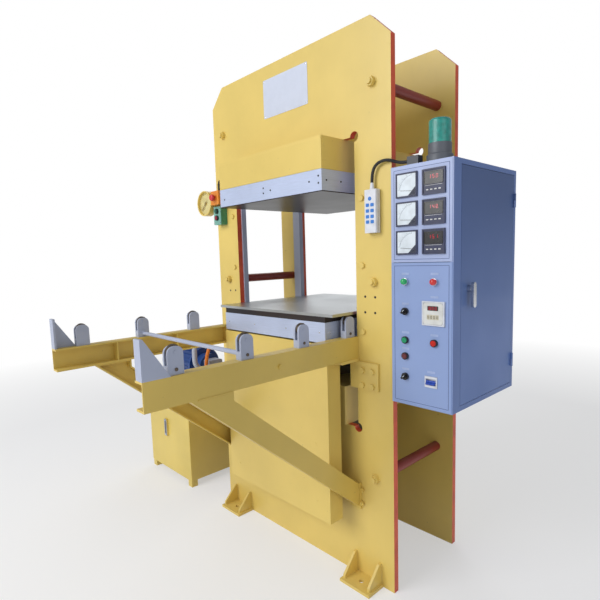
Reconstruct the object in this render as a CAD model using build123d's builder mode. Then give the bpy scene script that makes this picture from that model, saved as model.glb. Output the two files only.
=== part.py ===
"""Rubber vulcanizing press: two window plates tied together, with heated platens between them.

Millimetres, +Z up. The origin is on the floor, midway between the plates and between the anchor holes.
The operator stands at -Y, where the two roller rails run out. The electric cabinet is at +X, and the
oil tank with its motor and pump stands at -X.
"""

from build123d import *
from math import cos, pi, radians, sin, tan
import os

os.makedirs("parts", exist_ok=True)

# Fits and clearances
running_fit = 0.05
free_gap = 0.3
door_gap = 2
cut_overrun = 5

# Window plates
plate_width = 1250
plate_height = 2500
plate_thickness = 30
plate_pitch = 520
plate_chamfer = 100
column_width = 192
window_width = plate_width - 2 * column_width
window_sill = 730
window_head = 2036
window_relief_radius = 22
front_face = -(plate_pitch + plate_thickness) / 2
inner_face = front_face + plate_thickness

# Tie rods, their spacer tubes and nuts
tie_outset = 1
tie_spread = (window_width + plate_width) / 2 + 2 * tie_outset
tie_head_drop = 32
tie_heights = (512, 1407, (window_head + plate_height) / 2 - tie_head_drop)
stud_radius = 12
stud_hole_clearance = 0.5
stud_overhang = 28
spacer_radius = 24
spacer_bore_radius = 13.5
nut_across_flats = 36
nut_thickness = 19
tie_places = [(side * tie_spread / 2, height) for side in (-1, 1) for height in tie_heights]

# Feet
anchor_inset = 50
anchor_spread = tie_spread - 2 * anchor_inset
anchor_reach = 55
anchor_hole_radius = 12
foot_width = 170
foot_depth = 110
foot_thickness = 14
gusset_thickness = 12
gusset_height = 112
gusset_depth = 95
gusset_nose = 18
gusset_offset = 70

# Platens
platen_window_gap = 58
platen_width = window_width - 2 * platen_window_gap
platen_depth = 850
platen_sheet = 2
hot_plate_thickness = 64
insulation_thickness = 30

# Upper beam, its guard and cover
upper_beam_height = 140
upper_beam_base = window_head - upper_beam_height
upper_guard_height = 90
upper_guard_base = upper_beam_base - upper_guard_height
cover_sheet = 3
upper_cover_gap = 1
upper_cover_height = 125
beam_edge = 4
upper_hot_top = upper_beam_base - insulation_thickness
upper_hot_base = upper_hot_top - hot_plate_thickness

# Sliding tray, lower platen and moving table
tray_window_gap = 13
tray_width = window_width - 2 * tray_window_gap
tray_thickness = 13
tray_base = 1258
tray_top = tray_base + tray_thickness
lower_hot_top = tray_base - free_gap
lower_hot_base = lower_hot_top - hot_plate_thickness
table_top = lower_hot_base - insulation_thickness
table_thickness = 124
table_inset = 7
table_width = platen_width - 2 * table_inset
table_plate_gap = 60
table_depth = 2 * (table_plate_gap - front_face)
table_base = table_top - table_thickness
lower_guard_base = 1140
lower_guard_height = 92
guard_fold_height = 25
daylight = upper_hot_base - tray_top

# Guide bars on the inner faces of the plates, and the lugs that run against them
guide_overhang = 9
guide_inner = window_width / 2 - guide_overhang
guide_width = 57
guide_thickness = 30
guide_base = 1080
guide_height = 780
lug_thickness = 20
lug_height = 95
lug_inset = 5

# Cylinder, ram and the beam that carries them
lower_beam_inset = 5
lower_beam_width = platen_width - 2 * lower_beam_inset
lower_beam_depth = 580
lower_beam_height = 185
lower_beam_top = window_sill + lower_beam_height
ram_radius = 160
cylinder_radius = 200
cylinder_bore_radius = 165
cylinder_base = 300
cylinder_floor = 60
cylinder_top = 1015
cylinder_lip = 25
flange_radius = 235
flange_thickness = 40
ram_edge = 6
ram_base = cylinder_base + cylinder_floor + 2 * ram_edge
port_radius = 17
port_length = 30
boss_radius = 26

# Lower front cover
lower_cover_overhang = 7
lower_cover_width = platen_width + 2 * lower_cover_overhang
lower_cover_base = 291
lower_cover_top = 1132
cover_table_gap = 5
lower_cover_depth = (platen_depth - table_depth) / 2 - cover_table_gap
cover_post_radius = 12.5
cover_post_inset = 82
cover_post_spread = lower_cover_width - 2 * cover_post_inset
cover_post_heights = (380, 660)

# Roller rails
rail_height = 100
rail_flange = 50
rail_web = 5
rail_flange_thickness = 8
rail_outset = 7
rail_outer = window_width / 2 + rail_outset
rail_top = 1158
rail_base = rail_top - rail_height
rail_length = 1044
rail_rib_thickness = 6
rail_rib_count = 3
rail_rib_first = 125
rail_rib_pitch = 320

# Braces under the rails and the brackets that hold them to the front plate
brace_slope = 39.2
brace_rise = 108
brace_low = 351
brace_width = 45
brace_web = 6
brace_flange = 7
brace_throat = 703
brace_foot_thickness = 12
brace_foot_width = 60
brace_foot_height = 125
brace_foot_low = 338
bracket_thickness = 12
bracket_overlap = 40
bracket_inner = rail_outer - bracket_overlap
bracket_width = 155
bracket_height = 124
shelf_length = 120
shelf_width = 55
bracket_bolt_across_flats = 24
bracket_bolt_height = 10
bracket_bolt_pitch = (54, 67)
bracket_bolt_inset = (31, 19)

# End stops
stop_thickness = 10
stop_width = 42
stop_height = 132
stop_gusset_thickness = 8
stop_gusset_length = 89

# Roller posts and rollers
post_count = 4
post_first = 45
post_last = 920
post_width = 58
post_thickness = 31
post_height = 94
post_corner = 24
post_slot_width = 15
post_slot_floor = 32
post_inset = 25
roller_radius = 25
roller_width = 14.4
roller_edge = 1.5
pin_radius = 6
pin_overhang = 1.5
cross_rod_radius = 9
cross_rod_rise = 18
roller_height = lower_hot_top - roller_radius
post_pitch = (post_last - post_first) / (post_count - 1)
post_x = rail_outer - post_inset
post_ys = [front_face - post_first - post_pitch * step for step in range(post_count)]

# Oil tank
tank_gap = 285
tank_right = -plate_width / 2 - tank_gap
tank_width = 550
tank_front = -390
tank_depth = 500
tank_height = 650
tank_foot = 45
tank_edge = 4
tank_lid_thickness = 6
tank_lid_overhang = 10
filler_radius = 35
filler_height = 50
filler_inset = 70
level_width = 30
level_height = 120
level_depth = 12
level_left = 238
level_base = 295

# Motor and fan
motor_axis_height = 132
motor_inset = 70
motor_left = tank_right - tank_width + motor_inset
motor_length = 320
motor_radius = 112
motor_y = -140
fin_count = 24
fin_height = 12
fin_thickness = 4
fin_margin = 25
shield_thickness = 20
cowl_length = 70
cowl_wall = 3
cowl_slot_count = 12
cowl_slot_width = 8
cowl_slot_inner = 34
motor_foot_length = 50
motor_foot_width = 230
motor_foot_thickness = 14
motor_foot_inset = 30
terminal_size = (110, 90, 70)
bell_length = 70
bell_radius = 85
motor_shaft_radius = 10
fan_hub_radius = 24
fan_hub_length = 30
fan_blade_count = 7
fan_blade_thickness = 4
fan_radius = 98
motor_z = tank_height + motor_axis_height

# Pump, pipe and hose
pump_length = 80
pump_width = 100
pump_height = 110
pump_edge = 12
suction_radius = 20
pipe_radius = 17
pipe_bend = 70
pipe_rise = 985
pipe_low = 430
pipe_beam_gap = 40
pipe_drop_x = -lower_beam_width / 2 - pipe_beam_gap
pipe_front = -285
hose_radius = 12
hose_port_height = 850
hose_port_y = -60
hose_end = -lower_beam_width / 2 - port_length
hose_points = [
    (hose_end - 525, -225, 680),
    (hose_end - 525, -225, 790),
    (hose_end - 515, -212, 905),
    (hose_end - 475, -180, 1005),
    (hose_end - 400, -140, 1062),
    (hose_end - 300, -108, 1062),
    (hose_end - 220, -84, 1010),
    (hose_end - 161, -66, 924),
    (hose_end - 108, hose_port_y, 871),
    (hose_end - 56, hose_port_y, hose_port_height),
    (hose_end, hose_port_y, hose_port_height),
]

# Electric cabinet
cabinet_width = 275
cabinet_front = -280
cabinet_base = 897
cabinet_height = 975
cabinet_wall = 2
cabinet_lip = 12
panel_thickness = 2
panel_inset = 4
panel_split = 591
panel_gap = 2
cabinet_left = plate_width / 2
cabinet_right = cabinet_left + cabinet_width
cabinet_rear = -front_face
cabinet_depth = cabinet_rear - cabinet_front
cabinet_top = cabinet_base + cabinet_height
panel_face = cabinet_front - panel_thickness
door_front_margin = 58
door_rear_margin = 20
door_margin = 20
door_sheet = 2
door_fold = 16
knuckle_radius = 5
knuckle_length = 60
knuckle_pin_radius = 2.5
knuckle_inset = 110
entry_size = (50, 34, 32)
entry_inset = 75
entry_left = cabinet_left + entry_inset
entry_cable_height = 1888
entry_y = -262

# Instruments on the upper panel
left_column_inset = 77
left_column = cabinet_left + left_column_inset
column_pitch = 119
right_column = left_column + column_pitch
meter_size = 96
meter_bezel = 8
meter_body = 90
meter_depth = 60
meter_recess = 3
meter_rim = 5
cutout_clearance = 0.5
instrument_drop = 78
instrument_row_top = cabinet_top - instrument_drop
instrument_row_pitch = 113
instrument_rows = [instrument_row_top - instrument_row_pitch * step for step in range(3)]

# Controls on the lower panel
control_inset = 68
control_left = cabinet_left + control_inset
control_pitch = 131
control_right = control_left + control_pitch
lamp_drop = 76
lamp_height = cabinet_base + panel_split - lamp_drop
timer_drop = 124
timer_height = lamp_height - timer_drop
selector_drop = 122
upper_selector_height = lamp_height - selector_drop
push_button_drop = 119
push_button_height = upper_selector_height - push_button_drop
reset_drop = 67
reset_height = push_button_height - reset_drop
lower_selector_drop = 86
lower_selector_height = reset_height - lower_selector_drop
bezel_radius = 15
bezel_depth = 10
bezel_bore = 12
barrel_radius = 11
barrel_bore = 8.8
barrel_length = 32
block_size = 30
block_depth = 20
cap_radius = 11.6
cap_front = 14
cap_thickness = 9
button_travel = 4
stem_radius = 8.5
stem_length = 22
lamp_dome = 9
knob_bar_width = 8
knob_bar_height = 12
knob_angle = 45

# Circuit breaker
breaker_inset = 14
breaker_x = control_right - breaker_inset
breaker_drop = 92
breaker_height = reset_height - breaker_drop
breaker_width = 54
breaker_window = 45
breaker_depth = 70
breaker_nose = 4
breaker_slot_width = 44
breaker_slot_height = 26
breaker_slot_depth = 14
toggle_pin_radius = 3
toggle_bar_height = 7
toggle_length = 16
toggle_lever_width = 8
toggle_pole_pitch = 15
toggle_tilt = 28

# Beacon
beacon_inset = 88
beacon_x = cabinet_right - beacon_inset
beacon_y = -225
beacon_base_radius = 50
beacon_base_height = 30
beacon_neck_radius = 44
beacon_neck_height = 38
beacon_lens_radius = 42
beacon_lens_height = 92
beacon_lens_wall = 3
beacon_edge = 6

# Door handle
handle_y = -161
handle_z = 1380
handle_length = 100
handle_width = 24
handle_thickness = 12
handle_stand = 16
handle_shaft_radius = 7
handle_boss_radius = 14
handle_tail = 14
handle_disc_thickness = 4

# Pendant and its cable
pendant_inset = 86
pendant_x = plate_width / 2 - pendant_inset
pendant_width = 62
pendant_depth = 34
pendant_height = 180
pendant_base = 1616
pendant_edge = 7
relief_radius = 10
relief_height = 28
cable_radius = 6.5
relief_tip_radius = cable_radius
pendant_y = front_face - free_gap - pendant_depth / 2
relief_top = pendant_base + pendant_height + relief_height
cable_points = [
    (pendant_x, pendant_y, relief_top),
    (pendant_x, pendant_y, 1864),
    (pendant_x + 24, pendant_y, 1901),
    (pendant_x + 79, pendant_y, 1908),
    (pendant_x + 117, entry_y, entry_cable_height),
    (entry_left, entry_y, entry_cable_height),
]

# Push-button station and emergency stop on the front plate
station_inset = 62
station_x = station_inset - plate_width / 2
station_width = 71
station_depth = 45
station_base = 1729
station_height = 105
station_edge = 5
station_buttons = (1807, 1768)
stop_box_inset = 39
stop_box_left = stop_box_inset - plate_width / 2
stop_box_width = 78
stop_box_depth = 70
stop_box_base = 1842
stop_box_height = 78
mushroom_radius = 19
mushroom_thickness = 14
mushroom_gap = 14
mushroom_stem_radius = 9
conduit_radius = 7
conduit_bend = 26
conduit_entry_bend = 20
conduit_rise = 62
conduit_span = 66

# Pressure gauge
gauge_outset = 50
gauge_x = -plate_width / 2 - gauge_outset
gauge_z = 1862
gauge_radius = 74
gauge_depth = 50
gauge_back = -285
gauge_rim = 7
gauge_recess = 16
gauge_boss_radius = 6
gauge_boss_height = 6
gauge_strap_width = 68
gauge_strap_height = 45
needle_length = 52
needle_tail = 16
needle_width = 5
needle_thickness = 1.5
needle_hub_radius = 7
needle_pin_radius = 2
needle_rest_angle = 225


def finish(piece, label):
    """Labels a finished piece and writes it."""
    piece.part.label = label
    export_step(piece.part, f"parts/{label}.step")


def at_y(y):
    """A plane that faces -Y at this y, with X to the right and Z up."""
    return Plane.XZ.offset(-y)


def at_x(x):
    """A plane that faces +X at this x, with Y to the right and Z up."""
    return Plane.YZ.offset(x)


def block(low, high, mode=Mode.ADD):
    """Adds or cuts the box between two corners."""
    middle = tuple((a + b) / 2 for a, b in zip(low, high))
    sizes = tuple(b - a for a, b in zip(low, high))
    with Locations(middle):
        Box(*sizes, mode=mode)


def bar_along_x(y, z, radius, low, high, mode=Mode.ADD):
    """Adds or cuts a round bar that runs along X from low to high."""
    with Locations(Location(((low + high) / 2, y, z), (0, 90, 0))):
        Cylinder(radius, high - low, mode=mode)


def bar_along_y(x, z, radius, low, high, mode=Mode.ADD):
    """Adds or cuts a round bar that runs along Y from low to high."""
    with Locations(Location((x, (low + high) / 2, z), (90, 0, 0))):
        Cylinder(radius, high - low, mode=mode)


def bar_along_z(x, y, radius, low, high, mode=Mode.ADD):
    """Adds or cuts a round bar that runs along Z from low to high."""
    with Locations((x, y, (low + high) / 2)):
        Cylinder(radius, high - low, mode=mode)


def frame_plate(face):
    """One window plate, with its front face at y = face."""
    half = plate_width / 2
    corners = [(side * window_width / 2, level) for side in (-1, 1) for level in (window_sill, window_head)]
    with BuildPart() as plate:
        with BuildSketch(at_y(face + plate_thickness)):
            with BuildLine():
                Polyline(
                    (-half, 0),
                    (half, 0),
                    (half, plate_height - plate_chamfer),
                    (half - plate_chamfer, plate_height),
                    (-half + plate_chamfer, plate_height),
                    (-half, plate_height - plate_chamfer),
                    close=True,
                )
            make_face()
            with Locations((0, (window_sill + window_head) / 2)):
                Rectangle(window_width, window_head - window_sill, mode=Mode.SUBTRACT)
            with Locations(*corners):
                Circle(window_relief_radius, mode=Mode.SUBTRACT)
            with Locations(*tie_places):
                Circle(stud_radius + stud_hole_clearance, mode=Mode.SUBTRACT)
        extrude(amount=plate_thickness)
    return plate


# Frame
front_plate = frame_plate(front_face)
finish(front_plate, "front_plate")

rear_plate = frame_plate(-inner_face)
finish(rear_plate, "rear_plate")

with BuildPart() as spacer_tubes:
    with BuildSketch(at_y(-inner_face)):
        with Locations(*tie_places):
            Circle(spacer_radius)
            Circle(spacer_bore_radius, mode=Mode.SUBTRACT)
    extrude(amount=-2 * inner_face)
finish(spacer_tubes, "spacer_tubes")

with BuildPart() as tie_rods:
    with BuildSketch(at_y(-front_face + stud_overhang)):
        with Locations(*tie_places):
            Circle(stud_radius)
    extrude(amount=2 * (stud_overhang - front_face))
    for nut_back in (front_face, -front_face + nut_thickness):
        with BuildSketch(at_y(nut_back)):
            with Locations(*tie_places):
                RegularPolygon(nut_across_flats / 2, 6, major_radius=False)
                Circle(stud_radius + running_fit, mode=Mode.SUBTRACT)
        extrude(amount=nut_thickness)
finish(tie_rods, "tie_rods")

with BuildPart() as feet:
    foot_x = anchor_spread / 2
    block(
        (foot_x - foot_width / 2, front_face - foot_depth, 0),
        (foot_x + foot_width / 2, front_face, foot_thickness),
    )
    for side in (-1, 1):
        with BuildSketch(at_x(foot_x + side * gusset_offset - gusset_thickness / 2)):
            with BuildLine():
                Polyline(
                    (front_face, foot_thickness),
                    (front_face, gusset_height),
                    (front_face - gusset_nose, gusset_height),
                    (front_face - gusset_depth, foot_thickness + gusset_nose),
                    (front_face - gusset_depth, foot_thickness),
                    close=True,
                )
            make_face()
        extrude(amount=gusset_thickness)
    anchor_y = front_face - anchor_reach
    bar_along_z(foot_x, anchor_y, anchor_hole_radius, -cut_overrun, foot_thickness + cut_overrun, Mode.SUBTRACT)
    mirror(about=Plane.YZ)
    mirror(about=Plane.XZ)
finish(feet, "feet")


# Upper platen, hung under the window heads
def platen_box(low, high, inset):
    """A block of the platen's plan, drawn in all round by an inset."""
    half_width = platen_width / 2 - inset
    half_depth = platen_depth / 2 - inset
    block((-half_width, -half_depth, low), (half_width, half_depth, high))


with BuildPart() as upper_beam:
    platen_box(upper_beam_base, window_head, cover_sheet)
    chamfer(upper_beam.edges().filter_by(Axis.Z), beam_edge)
finish(upper_beam, "upper_beam")

with BuildPart() as upper_cover:
    with BuildSketch(Plane.XY.offset(upper_beam_base + upper_cover_gap)):
        Rectangle(platen_width, platen_depth)
        Rectangle(platen_width - 2 * cover_sheet, platen_depth - 2 * cover_sheet, mode=Mode.SUBTRACT)
        Rectangle(plate_width, 2 * (upper_cover_gap - front_face), mode=Mode.SUBTRACT)
    extrude(amount=upper_cover_height)
finish(upper_cover, "upper_cover")

with BuildPart() as upper_hot_plate:
    platen_box(upper_hot_base, upper_hot_top, platen_sheet)
    platen_box(upper_hot_top, upper_beam_base, platen_sheet)
finish(upper_hot_plate, "upper_hot_plate")

with BuildPart() as upper_guard:
    with BuildSketch(Plane.XY.offset(upper_guard_base)):
        Rectangle(platen_width, platen_depth)
        Rectangle(platen_width - 2 * platen_sheet, platen_depth - 2 * platen_sheet, mode=Mode.SUBTRACT)
    extrude(amount=upper_beam_base - upper_guard_base)
finish(upper_guard, "upper_guard")

# Lower beam and cylinder, seated on the window sills
with BuildPart() as lower_beam:
    block(
        (-lower_beam_width / 2, -lower_beam_depth / 2, window_sill),
        (lower_beam_width / 2, lower_beam_depth / 2, lower_beam_top),
    )
    chamfer(lower_beam.edges().filter_by(Axis.Z), beam_edge)
    bar_along_z(0, 0, cylinder_radius + running_fit, window_sill - cut_overrun, lower_beam_top + cut_overrun, Mode.SUBTRACT)
    beam_left = -lower_beam_width / 2
    bar_along_x(hose_port_y, hose_port_height, port_radius, beam_left - port_length, beam_left)
finish(lower_beam, "lower_beam")

with BuildPart() as cylinder:
    with BuildSketch(Plane.XZ):
        with BuildLine():
            Polyline(
                (0, cylinder_base),
                (cylinder_radius, cylinder_base),
                (cylinder_radius, lower_beam_top),
                (flange_radius, lower_beam_top),
                (flange_radius, lower_beam_top + flange_thickness),
                (cylinder_radius, lower_beam_top + flange_thickness),
                (cylinder_radius, cylinder_top),
                (ram_radius + running_fit, cylinder_top),
                (ram_radius + running_fit, cylinder_top - cylinder_lip),
                (cylinder_bore_radius, cylinder_top - cylinder_lip),
                (cylinder_bore_radius, cylinder_base + cylinder_floor),
                (0, cylinder_base + cylinder_floor),
                close=True,
            )
        make_face()
    revolve(axis=Axis.Z)
    wall_middle = (cylinder_radius + cylinder_bore_radius) / 2
    bar_along_x(0, pipe_low, boss_radius, -cylinder_radius - port_length, -wall_middle)
finish(cylinder, "cylinder")

with BuildPart() as ram:
    bar_along_z(0, 0, ram_radius, ram_base, table_base)
    chamfer(ram.edges().group_by(Axis.Z)[0], ram_edge)
finish(ram, "ram")

with BuildPart() as moving_table:
    block(
        (-table_width / 2, -table_depth / 2, table_base),
        (table_width / 2, table_depth / 2, table_top),
    )
    lug_end = guide_inner - free_gap
    for lug_y in (inner_face + lug_inset, -inner_face - lug_inset - lug_thickness):
        block((-lug_end, lug_y, table_base), (lug_end, lug_y + lug_thickness, table_base + lug_height))
finish(moving_table, "moving_table")

with BuildPart() as lower_hot_plate:
    platen_box(table_top, lower_hot_base, platen_sheet)
    platen_box(lower_hot_base, lower_hot_top, platen_sheet)
finish(lower_hot_plate, "lower_hot_plate")

with BuildPart() as lower_guard:
    with BuildSketch(Plane.XY.offset(lower_guard_base)):
        Rectangle(platen_width, platen_depth)
        Rectangle(platen_width - 2 * platen_sheet, platen_depth - 2 * platen_sheet, mode=Mode.SUBTRACT)
    extrude(amount=lower_guard_height)
finish(lower_guard, "lower_guard")

with BuildPart() as tray:
    block(
        (-tray_width / 2, -platen_depth / 2, tray_base),
        (tray_width / 2, platen_depth / 2, tray_top),
    )
finish(tray, "sliding_tray")

with BuildPart() as guide_bars:
    block(
        (guide_inner, inner_face, guide_base),
        (guide_inner + guide_width, inner_face + guide_thickness, guide_base + guide_height),
    )
    mirror(about=Plane.YZ)
    mirror(about=Plane.XZ)
finish(guide_bars, "guide_bars")

with BuildPart() as lower_cover:
    cover_half = lower_cover_width / 2
    cover_face = -platen_depth / 2
    block(
        (-cover_half, cover_face, lower_cover_base),
        (cover_half, cover_face + lower_cover_depth, lower_cover_top),
    )
    block(
        (cover_sheet - cover_half, cover_face + cover_sheet, lower_cover_base + cover_sheet),
        (cover_half - cover_sheet, cover_face + lower_cover_depth + cut_overrun, lower_cover_top - cover_sheet),
        Mode.SUBTRACT,
    )
    for side in (-1, 1):
        for height in cover_post_heights:
            post_centre = side * cover_post_spread / 2
            bar_along_y(post_centre, height, cover_post_radius, cover_face + cover_sheet, front_face)
finish(lower_cover, "lower_cover")


# Roller rails
def rail(side):
    """A channel with its web outwards, closed by ribs on its inner side."""
    tip = side * (rail_outer - rail_flange)
    web = side * (rail_outer - rail_web)
    back = side * rail_outer
    with BuildPart() as channel:
        with BuildSketch(at_y(front_face)):
            with BuildLine():
                Polyline(
                    (tip, rail_base),
                    (back, rail_base),
                    (back, rail_top),
                    (tip, rail_top),
                    (tip, rail_top - rail_flange_thickness),
                    (web, rail_top - rail_flange_thickness),
                    (web, rail_base + rail_flange_thickness),
                    (tip, rail_base + rail_flange_thickness),
                    close=True,
                )
            make_face()
        extrude(amount=rail_length)
        for step in range(rail_rib_count):
            rib_y = front_face - rail_rib_first - rail_rib_pitch * step
            block(
                (min(tip, web), rib_y - rail_rib_thickness, rail_base + rail_flange_thickness),
                (max(tip, web), rib_y, rail_top - rail_flange_thickness),
            )
    return channel


left_rail = rail(-1)
finish(left_rail, "left_rail")

right_rail = rail(1)
finish(right_rail, "right_rail")

with BuildPart() as rail_braces:
    foot_back = front_face - brace_foot_thickness
    slope = tan(radians(brace_slope))
    throat_y = front_face - brace_throat
    lower_reach = foot_back - (rail_base - brace_low) / slope
    throat_z = brace_low + brace_rise + slope * (foot_back - throat_y)
    brace_outline = (
        (foot_back, brace_low),
        (foot_back, brace_low + brace_rise),
        (throat_y, throat_z),
        (throat_y, rail_base),
        (lower_reach, rail_base),
    )
    with BuildSketch(at_x(rail_outer - brace_width)):
        with BuildLine():
            Polyline(*brace_outline, close=True)
        make_face()
    extrude(amount=brace_width)
    with BuildSketch(at_x(rail_outer - brace_width)):
        with BuildLine():
            Polyline(*brace_outline, close=True)
        make_face()
        offset(amount=-brace_flange, kind=Kind.INTERSECTION, mode=Mode.REPLACE)
    extrude(amount=brace_width - brace_web, mode=Mode.SUBTRACT)
    brace_middle = rail_outer - brace_width / 2
    block(
        (brace_middle - brace_foot_width / 2, foot_back, brace_foot_low),
        (brace_middle + brace_foot_width / 2, front_face, brace_foot_low + brace_foot_height),
    )
    mirror(about=Plane.YZ)
finish(rail_braces, "rail_braces")

with BuildPart() as rail_brackets:
    plate_back = front_face - bracket_thickness
    shelf_base = rail_base - bracket_thickness
    block(
        (bracket_inner, plate_back, shelf_base - bracket_height),
        (bracket_inner + bracket_width, front_face, shelf_base),
    )
    block(
        (rail_outer - rail_flange, front_face - shelf_length, shelf_base),
        (rail_outer - rail_flange + shelf_width, front_face, rail_base),
    )
    bolt_outer = bracket_inner + bracket_width - bracket_bolt_inset[0]
    bolt_low = shelf_base - bracket_height + bracket_bolt_inset[1]
    with BuildSketch(at_y(plate_back)):
        for across in range(2):
            for up in range(2):
                bolt_x = bolt_outer - across * bracket_bolt_pitch[0]
                bolt_z = bolt_low + up * bracket_bolt_pitch[1]
                with Locations((bolt_x, bolt_z)):
                    RegularPolygon(bracket_bolt_across_flats / 2, 6, major_radius=False)
    extrude(amount=bracket_bolt_height)
    mirror(about=Plane.YZ)
finish(rail_brackets, "rail_brackets")

with BuildPart() as end_stops:
    rail_end = front_face - rail_length
    stop_back = rail_end + stop_thickness
    block(
        (rail_outer - stop_width, rail_end, rail_top),
        (rail_outer, stop_back, rail_top + stop_height),
    )
    with BuildSketch(at_x(rail_outer - stop_gusset_thickness)):
        with BuildLine():
            Polyline(
                (stop_back, rail_top),
                (stop_back + stop_gusset_length, rail_top),
                (stop_back, rail_top + stop_height),
                close=True,
            )
        make_face()
    extrude(amount=stop_gusset_thickness)
    mirror(about=Plane.YZ)
finish(end_stops, "end_stops")

with BuildPart() as roller_posts:
    for side in (-1, 1):
        middle = side * post_x
        for post_y in post_ys:
            with BuildSketch(at_x(middle - post_thickness / 2)):
                with Locations((post_y, rail_top + post_height / 2)):
                    outline = Rectangle(post_width, post_height)
                fillet(outline.vertices().group_by(Axis.Z)[-1], post_corner)
            extrude(amount=post_thickness)
            block(
                (middle - post_slot_width / 2, post_y - post_width, rail_top + post_slot_floor),
                (middle + post_slot_width / 2, post_y + post_width, rail_top + 2 * post_height),
                Mode.SUBTRACT,
            )
            cheek = post_thickness / 2
            bar_along_x(
                post_y,
                roller_height,
                pin_radius + running_fit,
                middle - cheek - cut_overrun,
                middle + cheek + cut_overrun,
                Mode.SUBTRACT,
            )
            pin_half = cheek + pin_overhang
            bar_along_x(post_y, roller_height, pin_radius, middle - pin_half, middle + pin_half)
    rod_half = post_x - post_thickness / 2 - running_fit
    bar_along_x(post_ys[2], rail_top + cross_rod_rise, cross_rod_radius, -rod_half, rod_half)
finish(roller_posts, "roller_posts")


def roller(side, y):
    """One roller, free to turn on the pin of its post."""
    half = roller_width / 2
    with BuildPart() as wheel:
        bar_along_x(y, roller_height, roller_radius, side * post_x - half, side * post_x + half)
        chamfer(wheel.edges().filter_by(GeomType.CIRCLE), roller_edge)
        bar_along_x(
            y,
            roller_height,
            pin_radius + running_fit,
            side * post_x - half - cut_overrun,
            side * post_x + half + cut_overrun,
            Mode.SUBTRACT,
        )
    return wheel


for side, side_name in ((-1, "left"), (1, "right")):
    for number, post_y in enumerate(post_ys, start=1):
        finish(roller(side, post_y), f"{side_name}_roller_{number}")

# Oil tank and power unit
with BuildPart() as oil_tank:
    tank_left = tank_right - tank_width
    tank_back = tank_front + tank_depth
    lid_base = tank_height - tank_lid_thickness
    block((tank_left, tank_front, tank_foot), (tank_right, tank_back, lid_base))
    fillet(oil_tank.edges().filter_by(Axis.Z), tank_edge)
    for foot_x in (tank_left + tank_edge, tank_right - tank_edge - tank_foot):
        for foot_y in (tank_front + tank_edge, tank_back - tank_edge - tank_foot):
            block((foot_x, foot_y, 0), (foot_x + tank_foot, foot_y + tank_foot, tank_foot))
    block(
        (tank_left - tank_lid_overhang, tank_front - tank_lid_overhang, lid_base),
        (tank_right + tank_lid_overhang, tank_back + tank_lid_overhang, tank_height),
    )
    filler_x = tank_left + filler_inset
    bar_along_z(filler_x, tank_back - filler_inset, filler_radius, tank_height, tank_height + filler_height)
    gauge_left = tank_left + level_left
    block(
        (gauge_left, tank_front - level_depth, level_base),
        (gauge_left + level_width, tank_front, level_base + level_height),
    )
    bar_along_z(hose_points[0][0], hose_points[0][1], port_radius, tank_height, hose_points[0][2])
finish(oil_tank, "oil_tank")

with BuildPart() as motor:
    motor_right = motor_left + motor_length
    bar_along_x(motor_y, motor_z, motor_radius, motor_left, motor_right)
    for number in range(fin_count):
        with BuildSketch(Plane.YZ.offset(motor_left + fin_margin)):
            with Locations((motor_y, motor_z)):
                with PolarLocations(motor_radius, 1, start_angle=360 / fin_count * number):
                    Rectangle(2 * fin_height, fin_thickness)
        extrude(amount=motor_length - 2 * fin_margin)
    shield_radius = motor_radius + fin_height
    bar_along_x(motor_y, motor_z, shield_radius, motor_left, motor_left + shield_thickness)
    bar_along_x(motor_y, motor_z, shield_radius, motor_right - shield_thickness, motor_right)
    bar_along_x(motor_y, motor_z, bell_radius, motor_right, motor_right + bell_length)
    for foot_x in (motor_left + motor_foot_inset, motor_right - motor_foot_inset - motor_foot_length):
        block(
            (foot_x, motor_y - motor_foot_width / 2, tank_height),
            (foot_x + motor_foot_length, motor_y + motor_foot_width / 2, tank_height + motor_foot_thickness),
        )
        block(
            (foot_x, motor_y - motor_foot_length, tank_height),
            (foot_x + motor_foot_length, motor_y + motor_foot_length, motor_z - motor_radius / 2),
        )
    terminal_x = motor_left + motor_length / 2
    block(
        (terminal_x - terminal_size[0] / 2, motor_y - terminal_size[1] / 2, motor_z),
        (terminal_x + terminal_size[0] / 2, motor_y + terminal_size[1] / 2, motor_z + motor_radius + terminal_size[2]),
    )
    cowl_end = motor_left - cowl_length
    bar_along_x(motor_y, motor_z, shield_radius, cowl_end, motor_left)
    bar_along_x(motor_y, motor_z, shield_radius - cowl_wall, cowl_end + cowl_wall, motor_left, Mode.SUBTRACT)
    with BuildSketch(Plane.YZ.offset(cowl_end - cut_overrun)):
        slot_length = motor_radius - cowl_slot_inner
        with Locations((motor_y, motor_z)):
            with PolarLocations(cowl_slot_inner + slot_length / 2, cowl_slot_count):
                Rectangle(slot_length, cowl_slot_width)
    extrude(amount=2 * cut_overrun, mode=Mode.SUBTRACT)
    bar_along_x(motor_y, motor_z, motor_shaft_radius, motor_left - cowl_length / 2 - fan_hub_length / 2, motor_left)
finish(motor, "motor")

with BuildPart() as fan:
    fan_middle = motor_left - cowl_length / 2
    fan_left = fan_middle - fan_hub_length / 2
    fan_right = fan_middle + fan_hub_length / 2
    bar_along_x(motor_y, motor_z, fan_hub_radius, fan_left, fan_right)
    with BuildSketch(Plane.YZ.offset(fan_left)):
        with Locations((motor_y, motor_z)):
            with PolarLocations(fan_radius / 2, fan_blade_count):
                Rectangle(fan_radius, fan_blade_thickness)
    extrude(amount=fan_hub_length)
    bore_radius = motor_shaft_radius + running_fit
    bar_along_x(motor_y, motor_z, bore_radius, fan_left - cut_overrun, fan_right + cut_overrun, Mode.SUBTRACT)
finish(fan, "motor_fan")

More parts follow.
